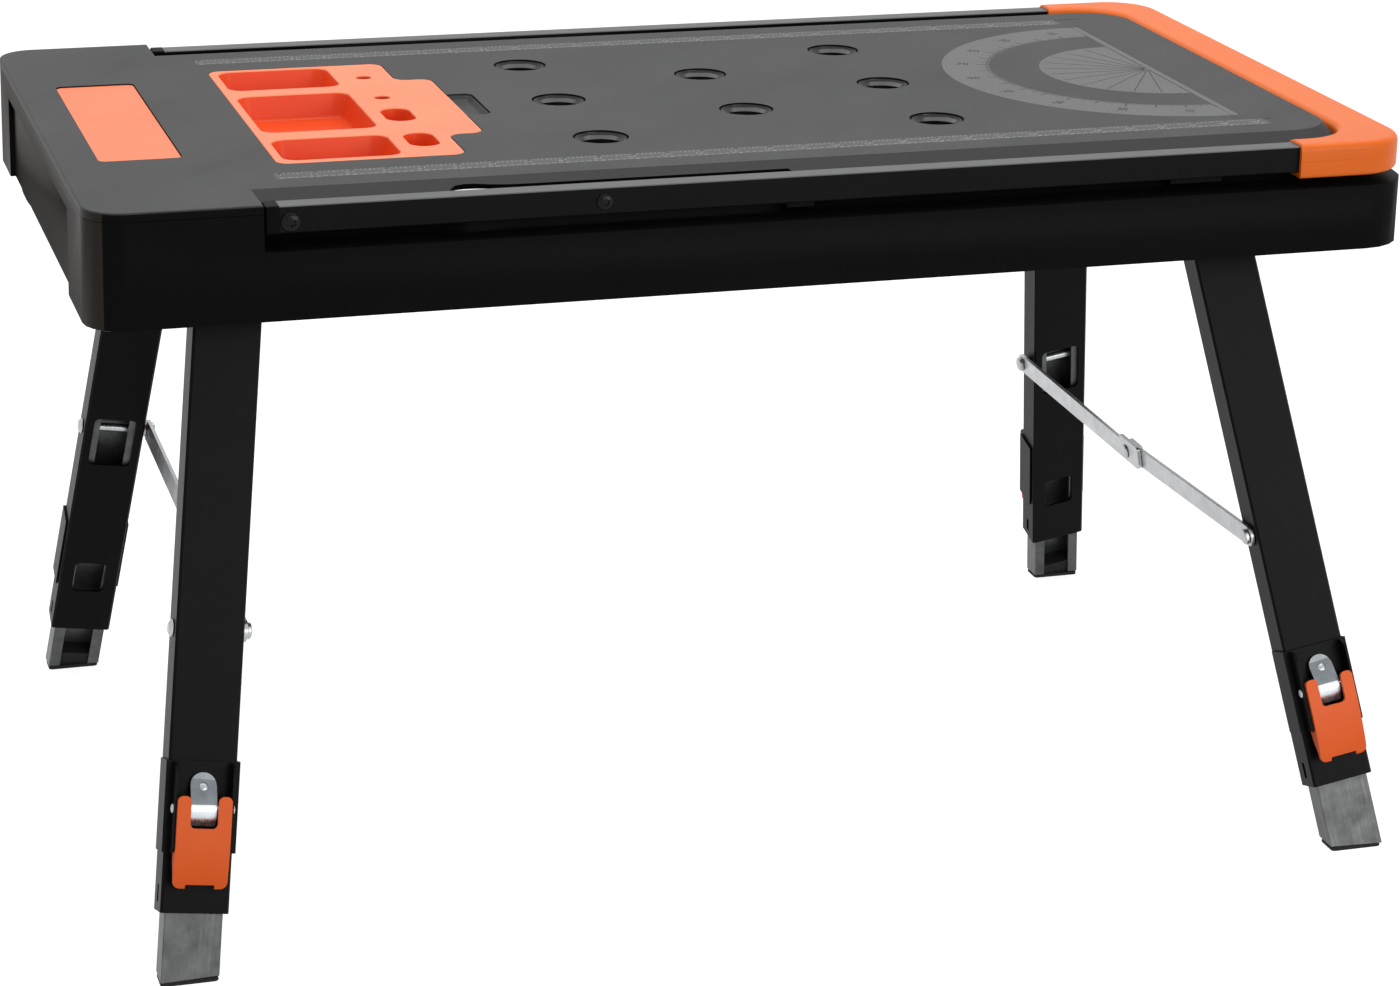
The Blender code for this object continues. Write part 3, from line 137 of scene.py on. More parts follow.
def rounded(x0: float, x1: float, y0: float, y1: float, radii: Sequence[float],
            steps: int = CORNER_STEPS) -> list[Flat]:
    """Draws a rectangle with one radius per corner.

    Args:
        x0, x1, y0, y1: Sides of the rectangle.
        radii: Radius of each corner, anticlockwise from (x0, y0).
        steps: Steps in each corner.

    Returns:
        The outline, anticlockwise.
    """
    signs = ((1, 1), (-1, 1), (-1, -1), (1, -1))
    corners = ((x0, y0), (x1, y0), (x1, y1), (x0, y1))
    outline: list[Flat] = []
    for index, ((cx, cy), (sx, sy), radius) in enumerate(zip(corners, signs, radii)):
        centre = (cx + sx * radius, cy + sy * radius)
        outline += arc(centre, radius, 180 + 90 * index, 270 + 90 * index, steps)
    return outline


def arc(centre: Flat, radius: float, start: float, end: float, steps: int = CORNER_STEPS) -> list[Flat]:
    """Draws an arc.

    Args:
        centre: Centre of the arc.
        radius: Its radius.
        start, end: Angles in degrees.
        steps: Steps between them.

    Returns:
        Points from start to end.
    """
    angles = [math.radians(start + (end - start) * step / steps) for step in range(steps + 1)]
    return [(centre[0] + radius * math.cos(a), centre[1] + radius * math.sin(a)) for a in angles]


def level(outline: Sequence[Flat], z: float) -> list[Point]:
    """Lays an outline flat at one height."""
    return [(x, y, z) for x, y in outline]


def across(outline: Sequence[Flat], u: float) -> list[Point]:
    """Stands an outline up, facing along the first axis."""
    return [(u, v, w) for v, w in outline]


def facing(outline: Sequence[Flat], v: float) -> list[Point]:
    """Stands an outline up, facing along the second axis."""
    return [(u, v, w) for u, w in outline]


def linked(name: str, data: bpy.types.ID) -> Piece:
    """Makes an object of a mesh, curve, camera or light and links it to the scene."""
    made = bpy.data.objects.new(name, data)
    bpy.context.scene.collection.objects.link(made)
    return made


def from_faces(points: Sequence[Point], faces: Sequence[Sequence[int]]) -> Piece:
    """Makes a closed mesh with its faces outwards.

    Args:
        points: Corners.
        faces: Corner numbers of each face.

    Returns:
        The new object.
    """
    mesh = bpy.data.meshes.new("piece")
    work = bmesh.new()
    made = [work.verts.new(point) for point in points]
    for face in faces:
        work.faces.new([made[index] for index in face])
    bmesh.ops.remove_doubles(work, verts=work.verts, dist=1e-5)
    bmesh.ops.recalc_face_normals(work, faces=work.faces)
    work.to_mesh(mesh)
    work.free()
    return linked("piece", mesh)


def loft(loops: Sequence[Sequence[Point]], ring: bool = False) -> Piece:
    """Skins loops of equal length.

    Args:
        loops: The loops in order.
        ring: Whether the last loop meets the first, in place of two end caps.

    Returns:
        The closed solid.
    """
    count, rows = len(loops[0]), len(loops)
    faces: list[list[int]] = []
    if not ring:
        faces = [list(range(count))[::-1], [count * (rows - 1) + index for index in range(count)]]
    for row in range(rows if ring else rows - 1):
        above = (row + 1) % rows
        for index in range(count):
            after = (index + 1) % count
            low, high = row * count, above * count
            faces.append([low + index, low + after, high + after, high + index])
    return from_faces([point for loop in loops for point in loop], faces)


def turned(profile: Sequence[Flat], centre: Point, axis: str, steps: int = SMALL_STEPS,
           ring: bool = False) -> Piece:
    """Turns a profile on the lathe.

    Args:
        profile: Distance along the axis and radius, from one end to the other.
        centre: Where distance zero lies.
        axis: "x", "y" or "z".
        steps: Steps around.
        ring: Whether the profile is closed round a bore.

    Returns:
        The turned solid.
    """
    places = {"x": (1, 2, 0), "y": (2, 0, 1), "z": (0, 1, 2)}[axis]
    loops = []
    for distance, radius in profile:
        loop = []
        for step in range(steps):
            angle = 2 * math.pi * step / steps
            point = list(centre)
            for place, value in zip(places, (radius * math.cos(angle), radius * math.sin(angle), distance)):
                point[place] += value
            loop.append((point[0], point[1], point[2]))
        loops.append(loop)
    return loft(loops, ring)


def rod(start: float, end: float, radius: float, centre: Point, axis: str, steps: int = SMALL_STEPS) -> Piece:
    """Turns a plain rod, used as a cutter or a shank."""
    return turned(((start, radius), (end, radius)), centre, axis, steps)


def block(x: Flat, y: Flat, z: Flat) -> Piece:
    """Makes a box from three ranges, used as a cutter or a tongue."""
    return loft([level([(x[0], y[0]), (x[1], y[0]), (x[1], y[1]), (x[0], y[1])], height) for height in z])


def bake(piece: Piece) -> Piece:
    """Turns a piece and its modifiers into a plain mesh."""
    graph = bpy.context.evaluated_depsgraph_get()
    result = bpy.data.meshes.new_from_object(piece.evaluated_get(graph))
    piece.modifiers.clear()
    piece.data = result
    return piece


def combine(base: Piece, tools: Sequence[Piece], operation: str) -> Piece:
    """Applies one exact Boolean per tool and removes the tools.

    Args:
        base: Solid that is worked on.
        tools: Solids that work on it.
        operation: "UNION", "DIFFERENCE" or "INTERSECT".

    Returns:
        The base.
    """
    for tool in tools:
        step = base.modifiers.new("step", "BOOLEAN")
        step.solver, step.operation, step.object = "EXACT", operation, tool
        bake(base)
        bpy.data.objects.remove(tool, do_unlink=True)
    return base


def join(base: Piece, *tools: Piece) -> Piece:
    """Unites solids."""
    return combine(base, tools, "UNION")


def cut(base: Piece, *tools: Piece) -> Piece:
    """Takes the tools out of a solid."""
    return combine(base, tools, "DIFFERENCE")


def ease(piece: Piece, width: float, segments: int = 2, angle: float = 30.0) -> Piece:
    """Rounds the edges of a piece.

    Args:
        piece: Piece that is worked on, in the unit of its mesh.
        width: Width of the rounding, in the same unit.
        segments: Steps in it.
        angle: Least angle between faces, in degrees, of an edge that is rounded.

    Returns:
        The piece.
    """
    work = bmesh.new()
    work.from_mesh(piece.data)
    bmesh.ops.remove_doubles(work, verts=work.verts, dist=width * 0.02)
    bmesh.ops.dissolve_limit(work, angle_limit=math.radians(0.4), verts=work.verts, edges=work.edges)
    work.to_mesh(piece.data)
    work.free()
    bevel = piece.modifiers.new("edges", "BEVEL")
    bevel.width, bevel.segments, bevel.angle_limit = width, segments, math.radians(angle)
    bevel.limit_method, bevel.use_clamp_overlap = "ANGLE", True
    return bake(piece)


def settle(piece: Piece, name: str, matrix: Matrix = WORLD, sharp: float = 50.0) -> Piece:
    """Sets a piece into the world, with its place in its mesh, and shades it by the size of its faces.

    Args:
        piece: Piece that is worked on.
        name: Its name.
        matrix: From the piece's own frame to the world.
        sharp: Edges above this angle, in degrees, stay sharp.

    Returns:
        The piece.
    """
    piece.data.transform(matrix)
    piece.name = piece.data.name = name
    piece.data.shade_smooth()
    piece.data.set_sharp_from_angle(angle=math.radians(sharp))
    weighted = piece.modifiers.new("shading", "WEIGHTED_NORMAL")
    weighted.keep_sharp = True
    return bake(piece)


def merged(name: str, pieces: Sequence[Piece]) -> Piece:
    """Puts several pieces of one body and finish into one mesh.

    Args:
        name: Name of the whole.
        pieces: Settled pieces, which are removed.

    Returns:
        The new piece.
    """
    work = bmesh.new()
    slots: list[bpy.types.Material] = []
    for piece in pieces:
        first = len(work.faces)
        work.from_mesh(piece.data)
        work.faces.ensure_lookup_table()
        places = []
        for material in piece.data.materials:
            if material not in slots:
                slots.append(material)
            places.append(slots.index(material))
        for face in work.faces[first:]:
            face.material_index = places[face.material_index] if places else 0
    mesh = bpy.data.meshes.new(name)
    work.to_mesh(mesh)
    work.free()
    for material in slots:
        mesh.materials.append(material)
    for piece in pieces:
        bpy.data.objects.remove(piece, do_unlink=True)
    return linked(name, mesh)


class Finish:
    """A surface that can be put on a piece; its material is made once."""

    name: str
    low: str
    high: str

    def cover(self, tree: bpy.types.NodeTree, shader: bpy.types.Node, noises: Sequence[bpy.types.NodeSocket],
              sheen: Flat, depth: float) -> None:
        """Feeds the shader what every finish has.

        Args:
            tree: Material's tree.
            shader: Its shader.
            noises: What blends the two colours, what spreads the roughness and what lifts the surface.
            sheen: Roughness at both ends.
            depth: Depth of the relief in millimetres.
        """
        cloud, fine, relief = noises
        ramp = node(tree, "ShaderNodeValToRGB", feeds={"Fac": cloud})
        for stop, place, code in zip(ramp.color_ramp.elements, NOISE_SPAN, (self.low, self.high)):
            stop.position, stop.color = place, linear(code)
        rough = node(tree, "ShaderNodeMapRange", feeds={
            "Value": fine, "From Min": NOISE_SPAN[0], "From Max": NOISE_SPAN[1],
            "To Min": sheen[0], "To Max": sheen[1]})
        bump = node(tree, "ShaderNodeBump", feeds={"Height": relief, "Distance": depth * MM, "Strength": 1.0})
        tree.links.new(ramp.outputs["Color"], shader.inputs["Base Color"])
        tree.links.new(rough.outputs["Result"], shader.inputs["Roughness"])
        tree.links.new(bump.outputs["Normal"], shader.inputs["Normal"])

    def nodes(self, tree: bpy.types.NodeTree, shader: bpy.types.Node) -> None:
        """Builds the finish's nodes and feeds the shader."""
        raise NotImplementedError

    def material(self) -> bpy.types.Material:
        """Returns the finish's material, and makes it the first time."""
        found = bpy.data.materials.get(self.name)
        if found is None:
            found = bpy.data.materials.new(self.name)
            found.use_nodes = True
            self.nodes(found.node_tree, found.node_tree.nodes["Principled BSDF"])
        return found

    def on(self, piece: Piece) -> Piece:
        """Gives the whole piece this finish."""
        piece.data.materials.clear()
        piece.data.materials.append(self.material())
        piece.data.polygons.foreach_set("material_index", [0] * len(piece.data.polygons))
        return piece

    def on_faces(self, piece: Piece, wanted: Callable[[Vector, Vector], bool]) -> Piece:
        """Gives this finish to some faces.

        Args:
            piece: Piece that has another finish already.
            wanted: Says by a face's centre and normal whether it takes this finish.

        Returns:
            The piece.
        """
        piece.data.materials.append(self.material())
        place = len(piece.data.materials) - 1
        for face in piece.data.polygons:
            if wanted(face.center, face.normal):
                face.material_index = place
        return piece


def noise(tree: bpy.types.NodeTree, size: float, detail: float = 3.0, stretch: Point = (1.0, 1.0, 1.0),
          turn: Point = (0.0, 0.0, 0.0), rough: float = 0.5) -> bpy.types.NodeSocket:
    """Adds a noise on Object coordinates.

    Args:
        tree: Material's tree.
        size: Size of its grains in millimetres.
        detail: Octaves.
        stretch: Scale along each axis, small along the grain.
        turn: Rotation of the pattern, in radians.
        rough: How much the finer octaves weigh.

    Returns:
        The noise's value.
    """
    place = node(tree, "ShaderNodeTexCoord")
    turned_to = node(tree, "ShaderNodeMapping", feeds={
        "Vector": place.outputs["Object"], "Rotation": turn, "Scale": (1.0, 1.0, 1.0)})
    pulled = node(tree, "ShaderNodeMapping", feeds={"Vector": turned_to.outputs["Vector"], "Scale": stretch})
    return node(tree, "ShaderNodeTexNoise", feeds={
        "Vector": pulled.outputs["Vector"], "Scale": 1.0 / (size * MM), "Detail": detail, "Roughness": rough,
    }).outputs["Fac"]


@dataclass(frozen=True)
class MouldedPlastic(Finish):
    """Injection-moulded polypropylene: a fine spark-eroded grain breaks up the sheen, the colour is even."""

    name: str
    low: str
    high: str
    roughness: float = 0.5
    specular: float = 0.5
    grain: float = 0.9
    depth: float = 0.02
    patchy: float = 0.0
    cloud_size: float = 55.0
    wear_size: float = 90.0

    def nodes(self, tree: bpy.types.NodeTree, shader: bpy.types.Node) -> None:
        """Feeds cloudy colour, uneven sheen and the mould's grain, drawn coarse enough to show."""
        cloud = noise(tree, self.cloud_size, 4.0)
        fine = noise(tree, self.grain, 2.0)
        sheen = (self.roughness - 0.05, self.roughness + 0.05)
        self.cover(tree, shader, (cloud, fine, fine), sheen, self.depth)
        wear = noise(tree, self.wear_size, 6.0, (1.0, 0.35, 1.0), (0.0, 0.0, 0.7), 0.62)
        shine = node(tree, "ShaderNodeMapRange", feeds={
            "Value": wear, "From Min": NOISE_SPAN[0], "From Max": NOISE_SPAN[1],
            "To Min": self.specular - self.patchy, "To Max": self.specular + self.patchy})
        tree.links.new(shine.outputs["Result"], shader.inputs["Specular IOR Level"])


@dataclass(frozen=True)
class PowderCoat(Finish):
    """Powder-coated steel: an even film with a soft orange-peel wave and a dust of fine specks."""

    name: str
    low: str
    high: str
    roughness: float = 0.36
    specular: float = 0.5

    def nodes(self, tree: bpy.types.NodeTree, shader: bpy.types.Node) -> None:
        """Feeds the film's colour, its 2 mm peel and its 0.6 mm specks."""
        cloud, specks, peel = noise(tree, 40.0, 4.0), noise(tree, 0.6, 2.0), noise(tree, 2.0, 1.0)
        sheen = (self.roughness - 0.04, self.roughness + 0.08)
        self.cover(tree, shader, (cloud, specks, peel), sheen, 0.02)
        shader.inputs["Specular IOR Level"].default_value = self.specular


@dataclass(frozen=True)
class RolledSteel(Finish):
    """Zinc-plated, cold-rolled steel: a cool white metal with faint rolling lines and handling scratches."""

    name: str
    low: str
    high: str
    roughness: float = 0.34
    turn: Point = (0.0, 0.0, 0.0)
    metallic: float = 1.0

    def nodes(self, tree: bpy.types.NodeTree, shader: bpy.types.Node) -> None:
        """Feeds cloudy plating and lines that run along the third axis of the turned pattern."""
        cloud = noise(tree, 14.0, 5.0, rough=0.6)
        lines = noise(tree, 1.1, 3.0, (1.0, 1.0, 0.03), self.turn, 0.6)
        sheen = (self.roughness - 0.08, self.roughness + 0.1)
        self.cover(tree, shader, (cloud, lines, lines), sheen, 0.012)
        shader.inputs["Metallic"].default_value = self.metallic


@dataclass(frozen=True)
class CuredRubber(Finish):
    """Cured black rubber: dull, lightly dusted, with a skin pebbled by the mould."""

    name: str
    low: str
    high: str

    def nodes(self, tree: bpy.types.NodeTree, shader: bpy.types.Node) -> None:
        """Feeds a lightly dusted colour and a 1.5 mm pebble."""
        pebble = noise(tree, 1.5, 2.0)
        self.cover(tree, shader, (noise(tree, 9.0, 5.0), pebble, pebble), (0.68, 0.86), 0.06)
        shader.inputs["Specular IOR Level"].default_value = 0.3


class Shop:
    """The finishes of the bench."""

    # Textured panel: the same black plastic painted a flat dark grey on its upward faces, painted light from
    # above; paler where it is worn, with almost no highlight.
    top = MouldedPlastic("charcoal_polypropylene_textured", "#1a1b1b", "#1f2020", 0.5, 0.26, patchy=0.05)
    # The panel's sloping edge catches less light and reads as a black line.
    slope = MouldedPlastic("charcoal_polypropylene_edge", "#131313", "#161616", 0.5, 0.16)
    # Housing and head's sides: near black, with only the broadest sheen.
    shell = MouldedPlastic("black_polypropylene_moulded", "#080808", "#0b0a0a", 0.46, 0.035)
    # The same plastic with painted light from the left: a warm, dull brown on the faces to the left.
    dusty = MouldedPlastic("black_polypropylene_dusty", "#1d1916", "#231e1a", 0.5, 0.12)
    # Coated steel with the same painted light from the left on the faces to the left.
    worn_coat = PowderCoat("black_powder_coated_steel_dusty", "#1f1c1a", "#25221f", 0.4, 0.09)
    # The strap's end below the kink: the same metal painted the brightest on the bench, painted light where
    # it faces up.
    plate = RolledSteel("zinc_plated_strip_bright", "#c4ccd2", "#d6dde2", 0.3)
    # Polished bores: black with a small sharp highlight on the rim.
    gloss = MouldedPlastic("black_polypropylene_polished", "#070707", "#0a0a0a", 0.18, 0.5, 3.0, 0.004)
    # Textured insert: a light, even orange.
    inlay = MouldedPlastic("orange_polypropylene_textured", "#ec7446", "#ef7a4c", 0.5, 0.5)
    # Tray's rim and top: satin, paler than the pockets because it meets the light.
    tray = MouldedPlastic("orange_polypropylene_satin_rim", "#e87c50", "#ec8256", 0.46, 0.45, 1.6, 0.008)
    # Inside of the pockets: glossier and redder, as light bounces between the walls.
    pocket = MouldedPlastic("orange_polypropylene_glossy", "#e24a1c", "#e65022", 0.34, 0.2, 1.6, 0.008)
    # Handle: satin, a deeper and yellower orange than the tray.
    handle = MouldedPlastic("orange_polypropylene_satin", "#dc6414", "#e06a1a", 0.42, 0.22)
    # Blackened screws: dark with one small highlight.
    oxide = PowderCoat("black_oxide_screw_steel", "#080808", "#0b0b0b", 0.18, 0.14)
    # Latch levers: dense nylon, a fine grain and a soft highlight.
    lever = MouldedPlastic("orange_nylon_moulded", "#e25c22", "#e66227", 0.42, 0.18, 0.7)
    # Coated tubes and brackets: black with a soft long highlight.
    coat = PowderCoat("black_powder_coated_steel", "#080809", "#0b0b0c", 0.36, 0.06)
    # Tops of the rails: the same black coat painted a satin grey, painted light from above.
    rail_face = PowderCoat("grey_satin_powder_coated_steel", "#434445", "#4b4c4d", 0.4, 0.36)
    # Stays, pins and rivets: cool grey metal with faint lines.
    zinc = RolledSteel("zinc_plated_steel", "#a6a8aa", "#babcbe", 0.34)
    # Sprung strap: a darker grey metal, dull beside its end, which is painted bright.
    spring = RolledSteel("zinc_plated_spring_steel", "#6f7477", "#868b8f", 0.36)
    # Tyres and feet: dull black that swallows the light.
    rubber = CuredRubber("black_rubber_cured", "#101010", "#171716")
    # Smooth bands of the protractor: painted paler than the textured panel round them, a painted sheen of
    # their smooth face.
    band = MouldedPlastic("charcoal_polypropylene_smooth", "#3f4040", "#454646", 0.42, 0.4, 1.4, 0.01)
    # Smooth bands of the rulers: a little darker than those of the protractor, with the same painted sheen.
    scale = MouldedPlastic("charcoal_polypropylene_ruler_band", "#2e2f2f", "#333434", 0.46, 0.36, 1.4, 0.01)
    # Grey printed ticks and numbers, matt.
    ink_light = MouldedPlastic("grey_pad_print_ink", "#7c7d7d", "#868787", 0.5, 0.4, 1.0, 0.01)
    # Black printed ticks and numbers, matt.
    ink_dark = MouldedPlastic("black_pad_print_ink", "#0a0a0a", "#0d0d0d", 0.55, 0.15, 1.0, 0.01)


def grouped(name: str, inputs: Sequence[tuple[str, str]], output: str) -> bpy.types.NodeTree:
    """Starts a Geometry Nodes tree.

    Args:
        name: Name of the tree.
        inputs: Name and kind of each input.
        output: Name of its one output, a geometry.

    Returns:
        The tree with its sockets.
    """
    tree = bpy.data.node_groups.new(name, "GeometryNodeTree")
    for label, kind in inputs:
        tree.interface.new_socket(name=label, in_out="INPUT", socket_type="NodeSocket" + kind)
    tree.interface.new_socket(name=output, in_out="OUTPUT", socket_type="NodeSocketGeometry")
    return tree


def grown(piece: Piece, tree: bpy.types.NodeTree, values: dict[str, Socketed]) -> Piece:
    """Runs a Geometry Nodes tree on a piece.

    Args:
        piece: Piece that goes in as the tree's geometry.
        tree: The tree.
        values: Values of its other inputs, by name.

    Returns:
        The piece with the result as its mesh.
    """
    step = piece.modifiers.new("nodes", "NODES")
    step.node_group = tree
    for socket in tree.interface.items_tree:
        if socket.in_out == "INPUT" and socket.name in values:
            step[socket.identifier] = values[socket.name]
    return bake(piece)


class Run(Enum):
    """How a row of ticks runs."""

    LINE = "line"
    ARC = "arc"


@dataclass
class TickRow:
    """Geometry Nodes row of printed ticks, along a line or an arc, with each few ticks longer."""

    run: Run
    count: int
    pitch: float
    width: float
    short: float
    long: float
    every: int
    thickness: float = 0.3
    radius: float = 0.0

    def tree(self) -> bpy.types.NodeTree:
        """Builds the node tree with named inputs.

        Returns:
            A tree that makes the row from nothing.
        """
        inputs = [(name, "Int") for name in ("Count", "Every")]
        inputs += [(name, "Float") for name in ("Pitch", "Width", "Short", "Long", "Thickness", "Radius")]
        tree = grouped("printed_ticks_" + self.run.value, inputs + [("Ink", "Material")], "Ticks")
        given = node(tree, "NodeGroupInput").outputs
        index = node(tree, "GeometryNodeInputIndex").outputs[0]
        run = node(tree, "ShaderNodeMath", {"operation": "MULTIPLY"}, {
            0: index, 1: given["Pitch"]}).outputs[0]
        rest = node(tree, "ShaderNodeMath", {"operation": "MODULO"}, {0: index, 1: given["Every"]}).outputs[0]
        main = node(tree, "ShaderNodeMath", {"operation": "LESS_THAN"}, {0: rest, 1: 0.5}).outputs[0]
        length = node(tree, "ShaderNodeMapRange", feeds={
            "Value": main, "To Min": given["Short"], "To Max": given["Long"]}).outputs["Result"]
        inward = node(tree, "ShaderNodeMath", {"operation": "MULTIPLY"}, {0: length, 1: 0.5}).outputs[0]
        if self.run is Run.LINE:
            down = node(tree, "ShaderNodeMath", {"operation": "MULTIPLY"}, {0: inward, 1: -1.0}).outputs[0]
            spot = node(tree, "ShaderNodeCombineXYZ", feeds={"X": run, "Y": down}).outputs[0]
            turn = node(tree, "ShaderNodeCombineXYZ").outputs[0]
        else:
            reach = node(tree, "ShaderNodeMath", {"operation": "ADD"}, {
                0: given["Radius"], 1: inward}).outputs[0]
            cosine = node(tree, "ShaderNodeMath", {"operation": "COSINE"}, {0: run}).outputs[0]
            sine = node(tree, "ShaderNodeMath", {"operation": "SINE"}, {0: run}).outputs[0]
            x = node(tree, "ShaderNodeMath", {"operation": "MULTIPLY"}, {0: cosine, 1: reach}).outputs[0]
            y = node(tree, "ShaderNodeMath", {"operation": "MULTIPLY"}, {0: sine, 1: reach}).outputs[0]
            spot = node(tree, "ShaderNodeCombineXYZ", feeds={"X": x, "Y": y}).outputs[0]
            square = node(tree, "ShaderNodeMath", {"operation": "ADD"}, {0: run, 1: math.pi / 2}).outputs[0]
            turn = node(tree, "ShaderNodeCombineXYZ", feeds={"Z": square}).outputs[0]
        size = node(tree, "ShaderNodeCombineXYZ", feeds={
            "X": given["Width"], "Y": length, "Z": given["Thickness"]}).outputs[0]
        points = node(tree, "GeometryNodeMeshLine", feeds={
            "Count": given["Count"], "Offset": (0.0, 0.0, 0.0)})
        placed = node(tree, "GeometryNodeSetPosition", feeds={
            "Geometry": points.outputs[0], "Position": spot})
        bar = node(tree, "GeometryNodeMeshCube", feeds={"Size": (1.0, 1.0, 1.0)})
        row = node(tree, "GeometryNodeInstanceOnPoints", feeds={
            "Points": placed.outputs[0], "Instance": bar.outputs[0], "Rotation": turn, "Scale": size})
        real = node(tree, "GeometryNodeRealizeInstances", feeds={0: row.outputs[0]})
        inked = node(tree, "GeometryNodeSetMaterial", feeds={
            "Geometry": real.outputs[0], "Material": given["Ink"]})
        out = node(tree, "NodeGroupOutput")
        tree.links.new(inked.outputs[0], out.inputs["Ticks"])
        return tree

    def build(self, name: str, ink: Finish, matrix: Matrix) -> Piece:
        """Makes the row as a plain mesh.

        Args:
            name: Name of the piece.
            ink: Its finish.
            matrix: Where the row starts and how it is turned, in millimetres.

        Returns:
            The piece in the world.
        """
        piece = linked(name, bpy.data.meshes.new(name))
        values = {"Count": self.count, "Every": self.every, "Pitch": self.pitch, "Width": self.width,
                  "Short": self.short, "Long": self.long, "Thickness": self.thickness, "Radius": self.radius,
                  "Ink": ink.material()}
        grown(piece, self.tree(), values)
        piece.data.transform(WORLD @ matrix)
        return piece


@dataclass
class Fasteners:
    """Geometry Nodes set of equal screw or rivet heads, one at each point and facing the way it is told."""

    head: Piece
    seed: int = 7

    def tree(self) -> bpy.types.NodeTree:
        """Builds the node tree with named inputs.

        Returns:
            A tree that puts a head on each point of the mesh.
        """
        inputs = (("Points", "Geometry"), ("Head", "Object"), ("Size", "Float"), ("Seed", "Int"),
                  ("Metal", "Material"))
        tree = grouped("fastener_heads", inputs, "Heads")
        given = node(tree, "NodeGroupInput").outputs
        way = node(tree, "GeometryNodeInputNamedAttribute", {"data_type": "FLOAT_VECTOR"}, {"Name": "facing"})
        turn = node(tree, "FunctionNodeAlignRotationToVector", {"axis": "Z"}, {"Vector": way.outputs[0]})
        shape = node(tree, "GeometryNodeObjectInfo", feeds={"Object": given["Head"]})
        heads = node(tree, "GeometryNodeInstanceOnPoints", feeds={
            "Points": given["Points"], "Instance": shape.outputs["Geometry"], "Rotation": turn.outputs[0],
            "Scale": given["Size"]})
        spin = node(tree, "FunctionNodeRandomValue", {"data_type": "FLOAT"}, {
            "Min": 0.0, "Max": 6.283, "Seed": given["Seed"]})
        angle = node(tree, "ShaderNodeCombineXYZ", feeds={"Z": spin.outputs[1]})
        spun = node(tree, "GeometryNodeRotateInstances", feeds={
            "Instances": heads.outputs[0], "Rotation": angle.outputs[0]})
        real = node(tree, "GeometryNodeRealizeInstances", feeds={0: spun.outputs[0]})
        plated = node(tree, "GeometryNodeSetMaterial", feeds={
            "Geometry": real.outputs[0], "Material": given["Metal"]})
        out = node(tree, "NodeGroupOutput")
        tree.links.new(plated.outputs[0], out.inputs["Heads"])
        return tree

    def build(self, name: str, metal: Finish, spots: Sequence[tuple[Point, Point]], size: float,
              matrix: Matrix = WORLD) -> Piece:
        """Makes the heads as a plain mesh.

        Args:
            name: Name of the piece.
            metal: Its finish.
            spots: For each head its place and the way it faces, in millimetres.
            size: Scale of the head.
            matrix: From millimetres to the world.

        Returns:
            The piece in the world.
        """
        mesh = bpy.data.meshes.new(name)
        mesh.from_pydata([spot for spot, _ in spots], [], [])
        ways = mesh.attributes.new("facing", "FLOAT_VECTOR", "POINT")
        for index, (_, way) in enumerate(spots):
            ways.data[index].vector = way
        piece = linked(name, mesh)
        values = {"Head": self.head, "Size": size, "Seed": self.seed, "Metal": metal.material()}
        return settle(grown(piece, self.tree(), values), name, matrix)


class Recess(Enum):
    """Driving recess of a screw head."""

    STAR = "star"
    CROSS = "cross"
    NONE = "none"


def head_shape(radius: float, height: float, recess: Recess) -> Piece:
    """Turns a domed head and cuts its recess.

    Args:
        radius: Radius at the seat.
        height: Height of the dome.
        recess: Form of the recess.

    Returns:
        A head on the origin, facing up the third axis, in millimetres.
    """
    dome = [(0.0, radius), (height * 0.12, radius)]
    for step in range(1, 9):
        angle = math.radians(84 * step / 8)
        dome.append((height * (0.12 + 0.88 * math.sin(angle)), radius * math.cos(angle) + 0.02))
    head = turned(dome, (0.0, 0.0, 0.0), "z", SMALL_STEPS)
    deep = (height * 0.35, height * 1.2)
    if recess is Recess.STAR:
        star = []
        for step in range(48):
            angle = 2 * math.pi * step / 48
            star.append((radius * (0.44 + 0.07 * math.cos(6 * angle)), angle))
        cut(head, loft([[(r * math.cos(a), r * math.sin(a), z) for r, a in star] for z in deep]))
    elif recess is Recess.CROSS:
        arm, half = radius * 0.52, radius * 0.13
        plus = [(half, half), (half, arm), (-half, arm), (-half, half), (-arm, half), (-arm, -half)]
        plus += [(-half, -half), (-half, -arm), (half, -arm), (half, -half), (arm, -half), (arm, half)]
        cut(head, loft([[(x * s, y * s, z) for x, y in plus] for z, s in ((deep[0], 0.7), (deep[1], 1.1))]))
    head.hide_render = True
    return head


@dataclass
class Assembly:
    """What every sub-assembly shares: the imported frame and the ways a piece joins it."""

    frame: dict

    def adopt(self, piece: Piece, body: str, *nodes: str) -> Piece:
        """Lets a piece ride on a body, in place of CAD nodes.

        Args:
            piece: Finished piece.
            body: Body that it moves with.
            nodes: CAD nodes that it stands for.

        Returns:
            The piece.
        """
        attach(piece, body)
        if nodes:
            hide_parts(*nodes)
        LOG.info("%s rides on %s", piece.name, body)
        return piece

    def softened(self, cad: str, name: str, finish: Finish, width: float, segments: int = 2) -> Piece:
        """Copies a CAD node, merges its triangles and rounds its edges.

        Args:
            cad: Name of the node.
            name: Name of the new piece.
            finish: Its finish.
            width: Rounding in millimetres.
            segments: Steps in the rounding.

        Returns:
            The piece, in the world, not yet riding.
        """
        piece = linked(name, self.frame["nodes"][cad].data.copy())
        piece.data.transform(WORLD.inverted())
        ease(piece, width, segments)
        return finish.on(settle(piece, name))

    def dress(self, cad: str, name: str, finish: Finish, width: float, body: str) -> Piece:
        """Softens a CAD node and lets the copy ride on a body in its place."""
        return self.adopt(self.softened(cad, name, finish, width), body, cad)


